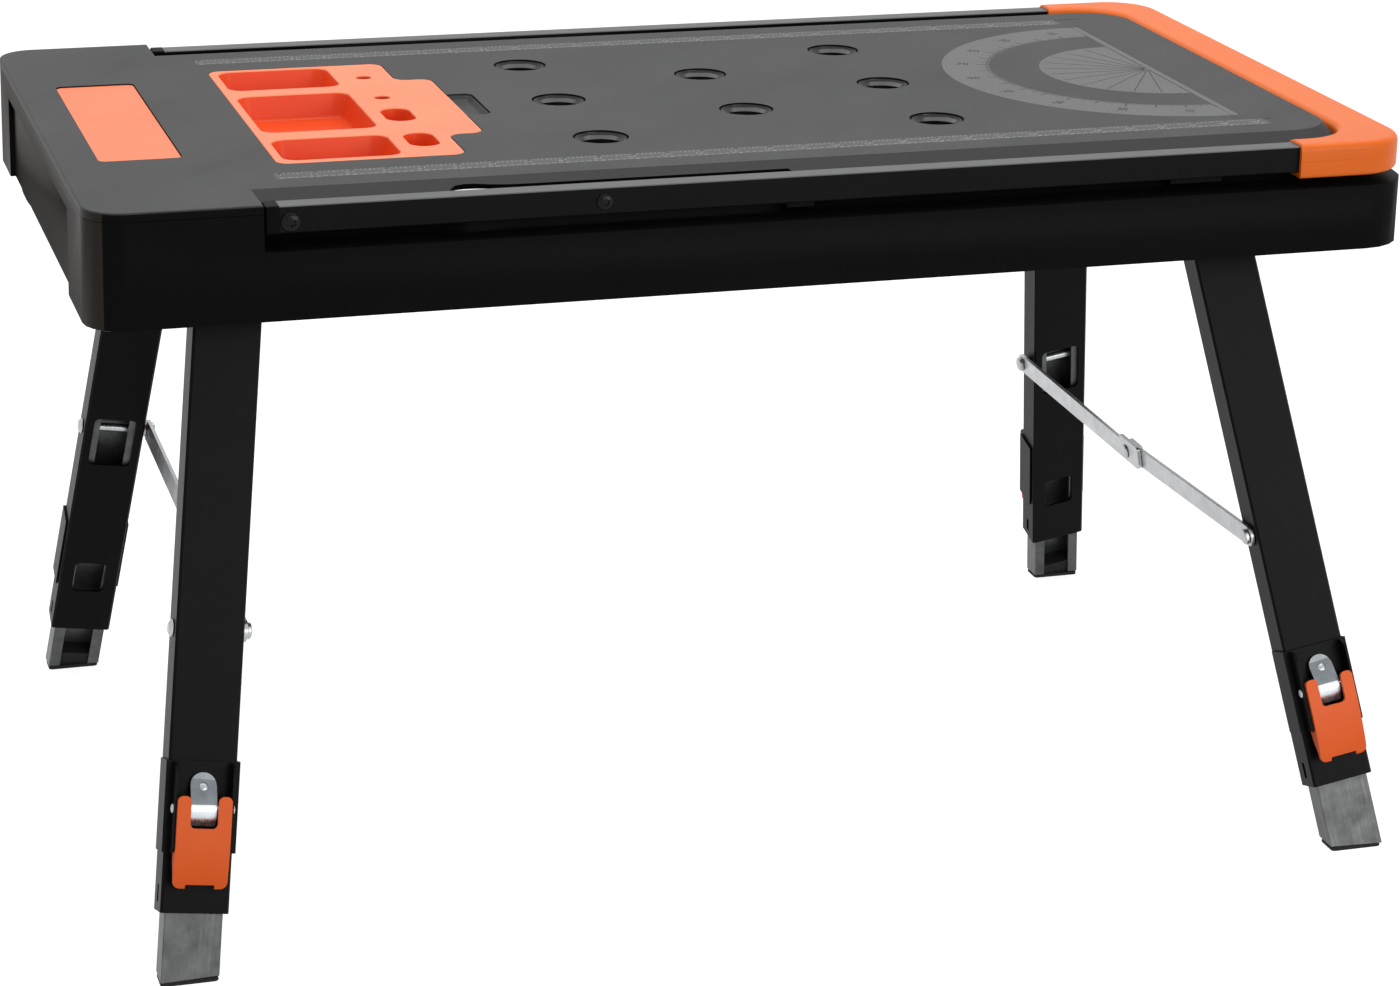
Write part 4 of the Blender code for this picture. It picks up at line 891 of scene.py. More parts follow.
@dataclass
class Deck:
    """Plan of the head and of the deck behind it."""

    half: float = 262.5
    head: float = 117.0
    head_corner: float = 28.0
    overhang: float = 3.3
    draft: float = 1.4
    bottom: float = 81.5
    draft_height: float = 80.0
    edge: float = 1.5

    def start(self, depth: float) -> float:
        """Says where the drafted left end of the head lies at a depth below the top."""
        return self.draft * (self.bottom - max(depth, self.edge)) / self.draft_height - self.overhang

    def outline(self, inset: float, end: float, corner: float, half: float, depth: float) -> list[Flat]:
        """Draws the plan.

        Args:
            inset: How far the head stands back on every side.
            end: Right end of the deck.
            corner: Corner radius there.
            half: Half width of the deck.
            depth: Depth of the plan below the top.

        Returns:
            The outline, anticlockwise.
        """
        head_corner = self.head_corner - inset
        head = rounded(self.start(depth) + inset, self.head - inset, inset - self.half, self.half - inset,
                       (head_corner, 0.0, 0.0, head_corner))
        deck = rounded(self.head - inset, end, -half, half, (0.0, corner, corner, 0.0))
        steps = CORNER_STEPS + 1
        outline = head[:steps] + [(self.head - inset, inset - self.half), (self.head - inset, -half)]
        outline += deck[steps : 3 * steps]
        outline += [(self.head - inset, half), (self.head - inset, self.half - inset)]
        return outline + head[3 * steps :]


def faces_left(centre: Vector, normal: Vector) -> bool:
    """Says whether a face near the head's end looks away from the bench, where the painted light from the
    left shows.
    """
    return normal.x < SHELL_LEFTWARD and centre.x < LEFT_END


@dataclass
class TopCover(Assembly):
    """Head skin and work panel, with dog holes, tray opening, inlay recess, scallops and a thumb scoop."""

    thickness: float = 6.5
    panel_half: Flat = (217.0, 237.0)
    panel_end: Flat = (928.0, 931.0)
    panel_corner: Flat = (36.0, 44.0)
    rim_radius: float = 20.4
    dish: float = 4.6
    sunk: float = 0.25
    dish_arc: tuple[int, int, int] = (36, 52, 6)
    bore_radius: float = 16.5
    tube_wall: float = 2.5
    tube_depth: float = 19.5
    holes: tuple[Flat, ...] = (
        (387.7, 0.0), (387.7, 122.8), (387.7, -122.8), (516.7, 61.1), (516.7, -61.1), (645.9, 0.0),
        (645.9, 122.8), (645.9, -122.8))
    clearance: float = 0.3
    # Each groove's width and depth.
    groove: Flat = (0.8, 0.5)
    # Each groove's place across the bench, and its two ends.
    grooves_at: tuple[Point, ...] = ((-178.0, 139.0, 891.0), (194.0, 141.0, 886.0))
    scallop: tuple[Flat, ...] = (
        (249.5, 25.0), (251.5, 31.0), (256.0, 35.2), (262.0, 36.5), (270.0, 36.2), (281.0, 34.2),
        (293.0, 33.0), (310.0, 32.6), (496.0, 32.6), (500.0, 25.0))
    thumb: tuple[float, float, float, float] = (302.0, 26.0, 35.0, 5.2)
    # Least depth of the skin below the top plane, which the printed bands fill.
    film: float = 0.06
    upward: float = 0.35
    sloping: Flat = (0.85, 0.97)
    slope_from: float = -0.3
    # Rise of the skin: share of its thickness, and how far it has drawn in; the panel slopes above the brow.
    brow: float = 0.08
    profile: tuple[Flat, ...] = (
        (0.0, 0.0), (0.08, 0.0), (0.8, 0.0), (0.86, 0.15), (0.93, 0.5), (0.975, 1.0), (1.0, 1.7))

    def skin(self) -> Piece:
        """Lofts the plain cover with its sloping edge."""
        deck = Deck()
        rows = []
        for share, inset in self.profile:
            slope = min(1.0, max(0.0, (share - self.brow) / (1.0 - self.brow)))
            half = self.panel_half[1] + (self.panel_half[0] - self.panel_half[1]) * slope
            end = self.panel_end[1] + (self.panel_end[0] - self.panel_end[1]) * slope
            corner = self.panel_corner[1] + (self.panel_corner[0] - self.panel_corner[1]) * slope
            depth = self.thickness * (1.0 - share)
            rows.append(level(deck.outline(inset, end, corner, half, depth), -max(depth, self.film)))
        return loft(rows)

    def dog_holes(self, cover: Piece) -> None:
        """Adds the tubes under the holes and bores them with a dished rim."""
        radius = self.bore_radius + self.tube_wall
        for x, y in self.holes:
            join(cover, rod(-self.tube_depth, -self.thickness / 2, radius, (x, y, 0.0), "z", ROUND_STEPS))
        lip = self.rim_radius - self.bore_radius
        profile = [(-self.tube_depth - 1.0, self.bore_radius), (-self.dish - 1.2, self.bore_radius)]
        start, turn, steps = self.dish_arc
        for step in range(steps + 1):
            angle = math.radians(start + turn * step / steps)
            profile.append((-self.dish * math.cos(angle), self.bore_radius + lip * math.sin(angle)))
        profile.append((1.0, self.rim_radius))
        for x, y in self.holes:
            cut(cover, turned(profile, (x, y, 0.0), "z", ROUND_STEPS))

    def openings(self, cover: Piece) -> None:
        """Cuts the tray's seat, the inlay's recess, the side scallops and the thumb scoop."""
        tray = ToolTray(self.frame)
        gap = self.clearance
        ledge = -tray.rim - gap
        cut(cover, loft([level(tray.outline(gap), z) for z in (ledge, 1.0)]))
        through = (-self.thickness - 1.0, ledge + 1.0)
        cut(cover, loft([level(tray.outline(gap - tray.overhang), z) for z in through]))
        inlay = HeadInlay(self.frame)
        floor = -inlay.recess - inlay.thickness - gap
        cut(cover, loft([level(inlay.outline(gap), z) for z in (floor, 1.0)]))
        for side in (-1, 1):
            flank = side * Deck.half
            edge = [(x, flank - side * inset) for x, inset in self.scallop]
            edge += [(self.scallop[-1][0], flank), (self.scallop[0][0], flank)]
            cut(cover, loft([level(edge, z) for z in (-8.0, 1.0)]))
        start, length, half, depth = self.thumb
        rows = []
        for share in (1.0, 0.96, 0.88, 0.76, 0.62, 0.46, 0.3, 0.15, 0.0):
            size = 1.0 - 0.45 * share**3
            rows.append(level(rounded(start, start + length * size, -half * size, half * size,
                                      (1.0, 7.0 * size, 7.0 * size, 1.0)), -depth * share))
        rows.append([(x, y, 1.0) for x, y, _ in rows[-1]])
        cut(cover, loft(rows))

    def grooves(self, cover: Piece) -> None:
        """Cuts the fine line that heads each ruler."""
        width, depth = self.groove
        for y, x0, x1 in self.grooves_at:
            line = [(x0, y - width / 2), (x1, y - width / 2), (x1, y + width / 2), (x0, y + width / 2)]
            cut(cover, loft([level(line, z) for z in (-depth, 1.0)]))

    def build(self) -> Piece:
        """Makes the cover and dresses it."""
        cover = self.skin()
        self.dog_holes(cover)
        self.openings(cover)
        self.grooves(cover)
        ease(cover, 0.35, 2, 40.0)
        settle(cover, "work_top")
        Shop.shell.on(cover)
        # Faces to the left take a warm brown: painted light from the left.
        Shop.dusty.on_faces(cover, faces_left)
        # Upward faces take the paler grey: painted light from above.
        Shop.top.on_faces(cover, lambda c, n: n.z > self.upward)
        low, high = self.sloping
        Shop.slope.on_faces(cover, lambda c, n: low < n.z < high and c.x > self.slope_from)
        inner = self.rim_radius - 0.3
        for x, y in self.holes:
            centre = WORLD @ Vector((x, y, 0.0))
            Shop.gloss.on_faces(
                cover, lambda c, n: (c - centre).xy.length < inner * MM and c.z < centre.z - self.sunk * MM)
        return self.adopt(cover, "base", "top_cover")


@dataclass
class HeadInlay(Assembly):
    """Plain coloured inlay in the head."""

    x: Flat = (27.4, 85.6)
    y: Flat = (-117.0, 124.0)
    corner: float = 5.0
    recess: float = 1.0
    thickness: float = 1.2

    def outline(self, grow: float) -> list[Flat]:
        """Draws the inlay's plan, grown or shrunk."""
        return rounded(self.x[0] - grow, self.x[1] + grow, self.y[0] - grow, self.y[1] + grow,
                       (self.corner + grow,) * 4)

    def build(self) -> Piece:
        """Makes the inlay with a softly rounded edge."""
        rows = ((-self.recess - self.thickness, 0.0), (-self.recess - 0.5, 0.0), (-self.recess - 0.15, -0.15),
                (-self.recess, -0.5))
        plate = settle(loft([level(self.outline(grow), z) for z, grow in rows]), "head_inlay")
        return self.adopt(Shop.inlay.on(plate), "base", "label_plate")


@dataclass
class ToolTray(Assembly):
    """Lift-out tray with three pockets, two oblong cups and two round holes."""

    x: Flat = (146.4, 309.0)
    step_x: float = 282.0
    half: float = 152.0
    tongue: float = 91.0
    corner: float = 10.0
    rim: float = 2.8
    overhang: float = 3.0
    depth: float = 21.5
    # Pockets and cups: range of each across the bench, range of all along it, and depth, corner and draft.
    pockets: tuple[Flat, ...] = ((81.0, 147.0), (-58.0, 61.0), (-143.0, -80.0))
    pocket_x: Flat = (153.0, 238.0)
    pocket_form: Point = (19.0, 11.0, 4.0)
    cups: tuple[Flat, ...] = ((-42.0, 0.0), (-122.0, -80.0))
    cup_x: Flat = (249.0, 271.0)
    cup_form: Point = (16.0, 10.8, 1.5)
    # Holes for bits: their places, and height and radius from the foot to the lip.
    bits: tuple[Flat, ...] = ((260.0, 106.0), (260.0, 36.0))
    bit_profile: tuple[Flat, ...] = (
        (-14.0, 4.6), (-13.0, 5.6), (-1.0, 5.85), (-0.3, 6.1), (0.0, 6.6), (1.0, 6.6))
    lip: float = 1.4
    largest_cove: float = 4.0
    # Depth below the top from which the pockets take the redder orange of painted shade.
    satin_depth: float = 0.9

    def outline(self, grow: float) -> list[Flat]:
        """Draws the tray's plan with its tongue, grown or shrunk."""
        x0, x1, step = self.x[0] - grow, self.x[1] + grow, self.step_x + grow
        half, tongue = self.half + grow, self.tongue + grow
        corner, notch = self.corner + grow, self.corner - grow
        outline = arc((x0 + corner, corner - half), corner, 180, 270)
        outline += arc((step - corner, corner - half), corner, 270, 360)
        outline += arc((step + notch, -tongue - notch), notch, 180, 90)
        outline += arc((x1 - corner, corner - tongue), corner, 270, 360)
        outline += arc((x1 - corner, tongue - corner), corner, 0, 90)
        outline += arc((step + notch, tongue + notch), notch, 270, 180)
        outline += arc((step - corner, half - corner), corner, 0, 90)
        return outline + arc((x0 + corner, half - corner), corner, 90, 180)

    def hollow(self, x: Flat, y: Flat, depth: float, corner: float, draft: float) -> Piece:
        """Makes a cutter for a drafted pocket with a coved floor and a rounded lip.

        Args:
            x, y: Sides at the lip.
            depth: Depth of the floor.
            corner: Corner radius at the lip.
            draft: How far each wall leans in down to the cove.

        Returns:
            The cutter.
        """
        cove, lip = min(self.largest_cove, depth * 0.3), self.lip
        rows = []
        for step in range(6):
            angle = math.radians(90 * step / 5)
            rows.append((-depth + cove * (1 - math.cos(angle)), draft + cove * (1 - math.sin(angle))))
        rows.append((-lip, draft * lip / depth))
        for step in range(1, 5):
            angle = math.radians(90 * step / 4)
            lean, flare = draft * lip / depth * (1 - step / 4), lip * 0.8 * (1 - math.cos(angle))
            rows.append((-lip + lip * math.sin(angle), lean - flare))
        rows.append((1.0, rows[-1][1]))
        loops = []
        for z, inset in rows:
            radius = max(1.0, corner - inset * 0.8)
            plan = rounded(x[0] + inset, x[1] - inset, y[0] + inset, y[1] - inset, (radius,) * 4)
            loops.append(level(plan, z))
        return loft(loops)

    def build(self) -> Piece:
        """Makes the tray and dresses it."""
        rows = ((-self.rim, 0.0), (-0.9, 0.0), (-0.35, -0.2), (-0.08, -0.55), (0.0, -0.95))
        tray = loft([level(self.outline(grow), z) for z, grow in rows])
        foot = [level(self.outline(-self.overhang - grow), z) for z, grow in
                ((-self.depth, 2.5), (-self.depth + 1.5, 1.0), (-self.rim / 2, 0.0))]
        join(tray, loft(foot))
        for y in self.pockets:
            cut(tray, self.hollow(self.pocket_x, y, *self.pocket_form))
        for y in self.cups:
            cut(tray, self.hollow(self.cup_x, y, *self.cup_form))
        for x, y in self.bits:
            cut(tray, turned(self.bit_profile, (x, y, 0.0), "z", SMALL_STEPS))
        ease(tray, 0.25, 1, 40.0)
        settle(tray, "tray", sharp=60.0)
        Shop.tray.on(tray)
        # Faces below the rim take the redder orange: painted shade and bounced light inside the pockets.
        Shop.pocket.on_faces(tray, lambda c, n: c.z < (TOP_HEIGHT - self.satin_depth) * MM)
        return self.adopt(tray, "tray", "tool_tray")


@dataclass
class Markings(Assembly):
    """Printed rulers along both edges of the panel and the protractor beside the handle."""

    lift: float = 0.0
    sunk: float = 0.15
    under: float = 0.03
    inch: float = 25.4
    # Each ruler: place of its line across the bench, where it starts, and its last inch.
    near: tuple[float, float, float] = (-178.6, 142.4, 29)
    far: tuple[float, float, float] = (193.2, 147.1, 28)
    # Marks of a ruler: name, how many to an inch, width, short, long, which is long, drop from the line.
    rows: tuple[tuple[str, int, float, float, float, int, float], ...] = (
        ("ticks", 8, 0.7, 2.6, 4.2, 4, 0.0), ("inches", 1, 0.9, 7.0, 7.0, 1, 0.0),
        ("dashes", 5, 3.2, 1.1, 1.8, 5, 12.4))
    # Smooth field of a ruler: how far it reaches left, right, to the near side and to the far side.
    margins: tuple[float, float, float, float] = (4.0, 6.0, 16.0, 1.2)
    number_drop: float = 8.3
    number_back: float = 4.2
    number_size: float = 4.6
    hub: Flat = (867.0, 0.0)
    degree_radius: float = 146.0
    degree_size: float = 7.5
    rings: tuple[float, float, float] = (162.3, 124.8, 85.5)
    base_x: Flat = (867.6, 872.7)
    foot: float = -0.2
    ink_depth: float = 0.1
    digit_share: float = 0.72

    def plate(self, name: str, outline: Sequence[Flat], finish: Finish, lift: float) -> Piece:
        """Makes a film of ink or a polished patch from an outline, with its foot sunk in the panel."""
        piece = loft([level(outline, z) for z in (self.foot, lift)])
        return finish.on(settle(piece, name))

    def numeral(self, text: str, x: float, y: float, size: float, turn: float, finish: Finish) -> Piece:
        """Sets a plain number flat on the panel.

        Args:
            text: The number.
            x, y: Middle of it, in millimetres.
            size: Height of the digits.
            turn: Angle in degrees.
            finish: Its ink.

        Returns:
            The number as a mesh.
        """
        letters = bpy.data.curves.new("numeral", "FONT")
        letters.body, letters.size, letters.extrude = text, size / self.digit_share, self.ink_depth
        letters.align_x, letters.align_y, letters.resolution_u = "CENTER", "CENTER", 3
        carrier = linked("numeral", letters)
        bpy.context.view_layer.update()
        mesh = bpy.data.meshes.new_from_object(carrier)
        bpy.data.objects.remove(carrier, do_unlink=True)
        piece = linked("numeral", mesh)
        way = Matrix.Rotation(math.radians(turn), 4, "Z")
        place = Matrix.Translation((x, y, self.lift - self.ink_depth)) @ way
        piece.data.transform(WORLD @ place)
        return finish.on(piece)

    def ruler(self, name: str, head: float, first: float, last: int) -> None:
        """Lays one ruler: fine and coarse ticks that hang from its line, numbers, and a row of dashes.

        Args:
            name: Name of the ruler.
            head: Where its line runs across the bench.
            first: Where it starts along the bench.
            last: Its last inch.
        """
        rows = []
        for part, share, width, short, long, every, drop in self.rows:
            spot = Matrix.Translation((first, head - drop, self.lift - self.sunk))
            row = TickRow(Run.LINE, last * share + 1, self.inch / share, width, short, long, every)
            rows.append(row.build(f"{name}_{part}", Shop.ink_light, spot))
        left, right, below, above = self.margins
        end = first + self.inch * last + right
        patch = rounded(first - left, end, head - below, head + above, (1.0,) * 4, 2)
        field = self.plate(name + "_field", patch, Shop.scale, self.lift - self.under)
        parts = [field, *rows]
        y = head - self.number_drop
        for number in range(1, last + 1):
            x = first + self.inch * number - self.number_back
            parts.append(self.numeral(str(number), x, y, self.number_size, 0.0, Shop.ink_light))
        self.adopt(merged(name, parts), "base")

    def sector(self, outer: float, inner: float) -> list[Flat]:
        """Draws the half ring between two radii, on the side away from the handle."""
        half = arc(self.hub, outer, 90, 270, 72)
        return half + (arc(self.hub, inner, 270, 90, 72) if inner > 0 else [])

    def protractor(self) -> None:
        """Lays the protractor: a smooth band, disc and base strip, with ticks, rays and degrees."""
        outer, middle, inner = self.rings
        band = self.plate("protractor_band", self.sector(outer, middle), Shop.band, self.lift - self.under)
        disc = self.plate("protractor_disc", self.sector(inner, 0.0), Shop.band, self.lift - self.under)
        base = rounded(*self.base_x, -outer, outer, (0.5,) * 4, 2)
        strip = self.plate("protractor_base", base, Shop.band, self.lift - self.under)
        hub = Matrix.Translation((self.hub[0], self.hub[1], self.lift - self.sunk))
        quarter = hub @ Matrix.Rotation(math.pi / 2, 4, "Z")
        parts = []
        for part, steps, width, short, long, every, radius in (
                ("ticks", 180, 0.5, 3.0, 6.0, 5, middle), ("tens", 18, 0.8, 9.5, 9.5, 1, middle),
                ("rays", 12, 0.7, 79.0, 79.0, 1, 3.0)):
            row = TickRow(Run.ARC, steps + 1, math.pi / steps, width, short, long, every, radius=radius)
            parts.append(row.build("protractor_" + part, Shop.ink_dark, quarter))
        reach = self.degree_radius
        for number in range(10, 181, 20):
            angle = math.radians(90 + number)
            x, y = self.hub[0] + reach * math.cos(angle), self.hub[1] + reach * math.sin(angle)
            shown = str(number if number <= 90 else 180 - number)
            parts.append(self.numeral(shown, x, y, self.degree_size, number - 90.0, Shop.ink_dark))
        self.adopt(merged("protractor_fields", [band, disc, strip]), "base")
        self.adopt(merged("protractor_scale", parts), "base")

    def build(self) -> None:
        """Lays both rulers and the protractor."""
        self.ruler("ruler_near", self.near[0], self.near[1], int(self.near[2]))
        self.ruler("ruler_far", self.far[0], self.far[1], int(self.far[2]))
        self.protractor()


@dataclass
class Housing(Assembly):
    """Housing under the cover, with grips, lugs, wheel cheeks and saddles."""

    rounding: float = 0.5

    def build(self) -> None:
        """Dresses the housing."""
        shell = self.softened("body_frame", "housing", Shop.shell, self.rounding)
        # Faces to the left take a warm brown: painted light from the left.
        Shop.dusty.on_faces(shell, faces_left)
        self.adopt(shell, "base", "body_frame")


@dataclass
class HandleFrame(Assembly):
    """Pull-out handle on two guide rails with their button-head screws."""

    sleeve_x: float = 878.0
    end_x: float = 970.0
    inner_x: float = 932.0
    half: float = 263.0
    inner_half: float = 239.2
    corner: float = 40.0
    inner_corner: float = 42.0
    levels: tuple[Flat, ...] = (
        (26.0, 3.2), (25.4, 1.7), (24.4, 0.6), (22.8, 0.0), (13.5, 0.0), (13.3, 0.2), (13.0, 0.2),
        (12.8, 0.0), (5.6, 0.0), (3.6, 0.45), (2.0, 1.5), (0.9, 3.0), (0.3, 4.9))
    rail_x: Flat = (121.0, 926.0)
    rail_y: Flat = (242.6, 259.3)
    sleeve_z: Flat = (-21.9, -2.0)
    # Cap on a rail's end: place along the bench and how far it has drawn in there, and its foot and top.
    cap: tuple[Flat, ...] = ((118.6, 1.2), (118.9, 0.5), (119.6, 0.0), (128.0, 0.0))
    cap_z: Flat = (-21.8, -2.1)
    cap_gap: float = 0.25
    upward: float = 0.6
    gap: float = 0.3
    screws: tuple[tuple[float, float, float], ...] = ((135.5, 13.4, 6.75), (354.2, 12.3, 5.75))

    def outline(self, inset: float) -> list[Flat]:
        """Draws the U of the handle, open toward the head, shrunk by an inset."""
        start, end, half = self.sleeve_x + inset * 0.3, self.end_x - inset, self.half - inset
        inner_x, inner = self.inner_x + inset, self.inner_half + inset
        corner, inner_corner = self.corner - inset, self.inner_corner + inset
        outline = [(start, -half)]
        outline += arc((end - corner, corner - half), corner, 270, 360, 2 * CORNER_STEPS)
        outline += arc((end - corner, half - corner), corner, 0, 90, 2 * CORNER_STEPS)
        outline += [(start, half), (start, inner)]
        outline += arc((inner_x - inner_corner, inner - inner_corner), inner_corner, 90, 0, 2 * CORNER_STEPS)
        outline += arc((inner_x - inner_corner, inner_corner - inner), inner_corner, 0, -90, 2 * CORNER_STEPS)
        outline.append((start, -inner))
        return outline

    def grip(self) -> None:
        """Makes the handle with its parting line and hollow sleeves."""
        handle = loft([level(self.outline(inset), -depth) for depth, inset in self.levels])
        for side in (-1, 1):
            y = sorted((side * (self.rail_y[0] - self.gap), side * (self.rail_y[1] + self.gap)))
            cut(handle, block((self.sleeve_x - 2.0, self.rail_x[1] + self.gap), (y[0], y[1]), self.sleeve_z))
        settle(handle, "grip", sharp=42.0)
        self.adopt(Shop.handle.on(handle), "handle_frame", "handle")

    def rails(self) -> None:
        """Dresses the rails, with a moulded cap on each end at the head."""
        for side, name in ((-1, "near"), (1, "far")):
            rail = self.softened("rail_" + name, "guide_rail_" + name, Shop.coat, 0.4)
            # Upward faces of the rail take the grey: painted light from above.
            Shop.rail_face.on_faces(rail, lambda c, n: n.z > self.upward)
            self.adopt(rail, "handle_frame", "rail_" + name)
            inner, outer = self.rail_y[0] - self.cap_gap, self.rail_y[1] + self.cap_gap
            y0, y1 = sorted((side * inner, side * outer))
            z0, z1 = self.cap_z
            plans = [(x, rounded(y0 + s, y1 - s, z0 + s, z1 - s, (1.5,) * 4, 4)) for x, s in self.cap]
            cap = loft([across(plan, x) for x, plan in plans])
            self.adopt(Shop.shell.on(settle(cap, "rail_cap_" + name)), "handle_frame")

    def fasteners(self) -> None:
        """Sets the screws of both rails."""
        head = head_shape(1.0, 0.4, Recess.STAR)
        for number, (x, depth, radius) in enumerate(self.screws, 1):
            seat = self.rail_y[1] + self.gap
            spots = [((x, side * seat, -depth), (0.0, float(side), 0.0)) for side in (-1, 1)]
            piece = Fasteners(head).build(f"rail_screws_{number}", Shop.oxide, spots, radius)
            self.adopt(piece, "handle_frame", f"rail_screw_near_{number}", f"rail_screw_far_{number}")
        bpy.data.objects.remove(head, do_unlink=True)

    def build(self) -> None:
        """Makes the handle, its rails and their screws."""
        self.grip()
        self.rails()
        self.fasteners()


@dataclass
class Wheels(Assembly):
    """Two treaded wheels on a fixed axle."""

    x: float = 23.7
    depth: float = 87.0
    y: float = 166.0
    radius: float = 20.0
    width: float = 22.0
    bore: float = 3.3
    disc: float = 15.4
    axle: tuple[Flat, ...] = ((-185.0, 2.4), (-184.4, 3.0), (184.4, 3.0), (185.0, 2.4))

    def wheel(self, side: int, name: str) -> None:
        """Turns one wheel: a dished disc with a hub, and a grooved tyre."""
        half = self.width / 2
        profile: list[Flat] = [
            (-half, self.bore), (-half, 6.2), (-half + 0.6, 7.0), (-half + 2.6, 7.8), (-half + 3.0, 8.6),
            (-half + 3.0, 13.0), (-half + 1.4, 15.2), (-half + 1.0, 15.8), (-half + 1.0, self.radius - 2.4),
            (-half + 1.7, self.radius - 0.9), (-half + 3.4, self.radius)]
        for middle in (-3.5, 3.5):
            valley = self.radius - 1.1
            profile += [(middle - 1.2, self.radius), (middle - 0.7, valley)]
            profile += [(middle + 0.7, valley), (middle + 1.2, self.radius)]
        profile += [(-distance, radius) for distance, radius in reversed(profile[:11])]
        wheel = turned(profile, (self.x, side * self.y, -self.depth), "y", 72, ring=True)
        settle(wheel, "roller_" + name, sharp=38.0)
        Shop.rubber.on(wheel)
        centre = WORLD @ Vector((self.x, side * self.y, -self.depth))
        disc = self.disc * MM
        Shop.shell.on_faces(wheel, lambda c, n: math.hypot(c.x - centre.x, c.z - centre.z) < disc)
        self.adopt(wheel, f"wheel_{name}_body", "wheel_" + name)

    def build(self) -> None:
        """Makes both wheels and dresses their axle."""
        for side, name in ((-1, "near"), (1, "far")):
            self.wheel(side, name)
        axle = turned(self.axle, (self.x, 0.0, -self.depth), "y")
        self.adopt(Shop.zinc.on(settle(axle, "wheel_pin")), "base", "wheel_axle")


@dataclass(frozen=True)
class Bent:
    """Where one pair of legs hangs and how it stands."""

    name: str
    pivot_x: float
    toward: int
    pivot_y: float
    slope: float
    splay: float
    pivot_depth: float = 56.0

    def beam(self) -> Matrix:
        """Frame of the hinge beam in millimetres: u toward the bench's middle, y across, w up the legs."""
        tilt = math.atan(self.slope)
        u = Vector((self.toward * math.cos(tilt), 0.0, -math.sin(tilt)))
        w = Vector((self.toward * math.sin(tilt), 0.0, math.cos(tilt)))
        axes = Matrix((u, Vector((0.0, 1.0, 0.0)), w)).transposed().to_4x4()
        return Matrix.Translation((self.pivot_x, 0.0, -self.pivot_depth)) @ axes

    def leg(self, side: int) -> Matrix:
        """Frame of one leg in millimetres: u as for the beam, v outwards, w up the leg."""
        splay = math.radians(self.splay)
        v = Vector((0.0, side * math.cos(splay), math.sin(splay)))
        w = Vector((0.0, -side * math.sin(splay), math.cos(splay)))
        axes = Matrix((Vector((1.0, 0.0, 0.0)), v, w)).transposed().to_4x4()
        return self.beam() @ Matrix.Translation((0.0, side * self.pivot_y, 0.0)) @ axes


BENTS = (
    Bent("left", 109.9, 1, 155.9, 0.142, 17.53),
    Bent("right", 852.6, -1, 148.5, 0.169, 18.48),
)


@dataclass(frozen=True)
class Latch:
    """Measures of a leg's latch, in the leg's frame: points of the strap and rivet are (outward, upward)."""

    # Lever: its top and foot below the leg's pivot, its half width, and how far out its face and back are.
    top: float = 382.5
    foot: float = 447.0
    half: float = 19.05
    face: float = 30.1
    back: float = 15.9
    # Lever: how far its face bows back at the foot, thickness of its sides and face, radius of its ears.
    bow: float = 4.5
    bow_steps: int = 16
    wall: float = 1.3
    skin: float = 2.6
    ear: float = 4.2
    # Lever: half width of the slot and the depth of its foot, half width of the notch and its height.
    slot: Flat = (9.6, 405.0)
    notch: Flat = (10.3, 2.8)
    # Range outward that the cutters span.
    reach: Flat = (10.0, 30.0)
    # Strap: half width, thickness, height of the kink, its inner side, and the rivet that holds it.
    strap_half: float = 9.2
    strap_thick: float = 1.5
    kink: float = -388.6
    strap_back: tuple[Flat, ...] = (
        (15.4, -366.8), (16.4, -372.0), (24.6, -388.6), (24.0, -396.0), (19.6, -403.6))
    rivet: Flat = (19.6, -376.6)
    rivet_radius: float = 3.2
    shank_radius: float = 2.4


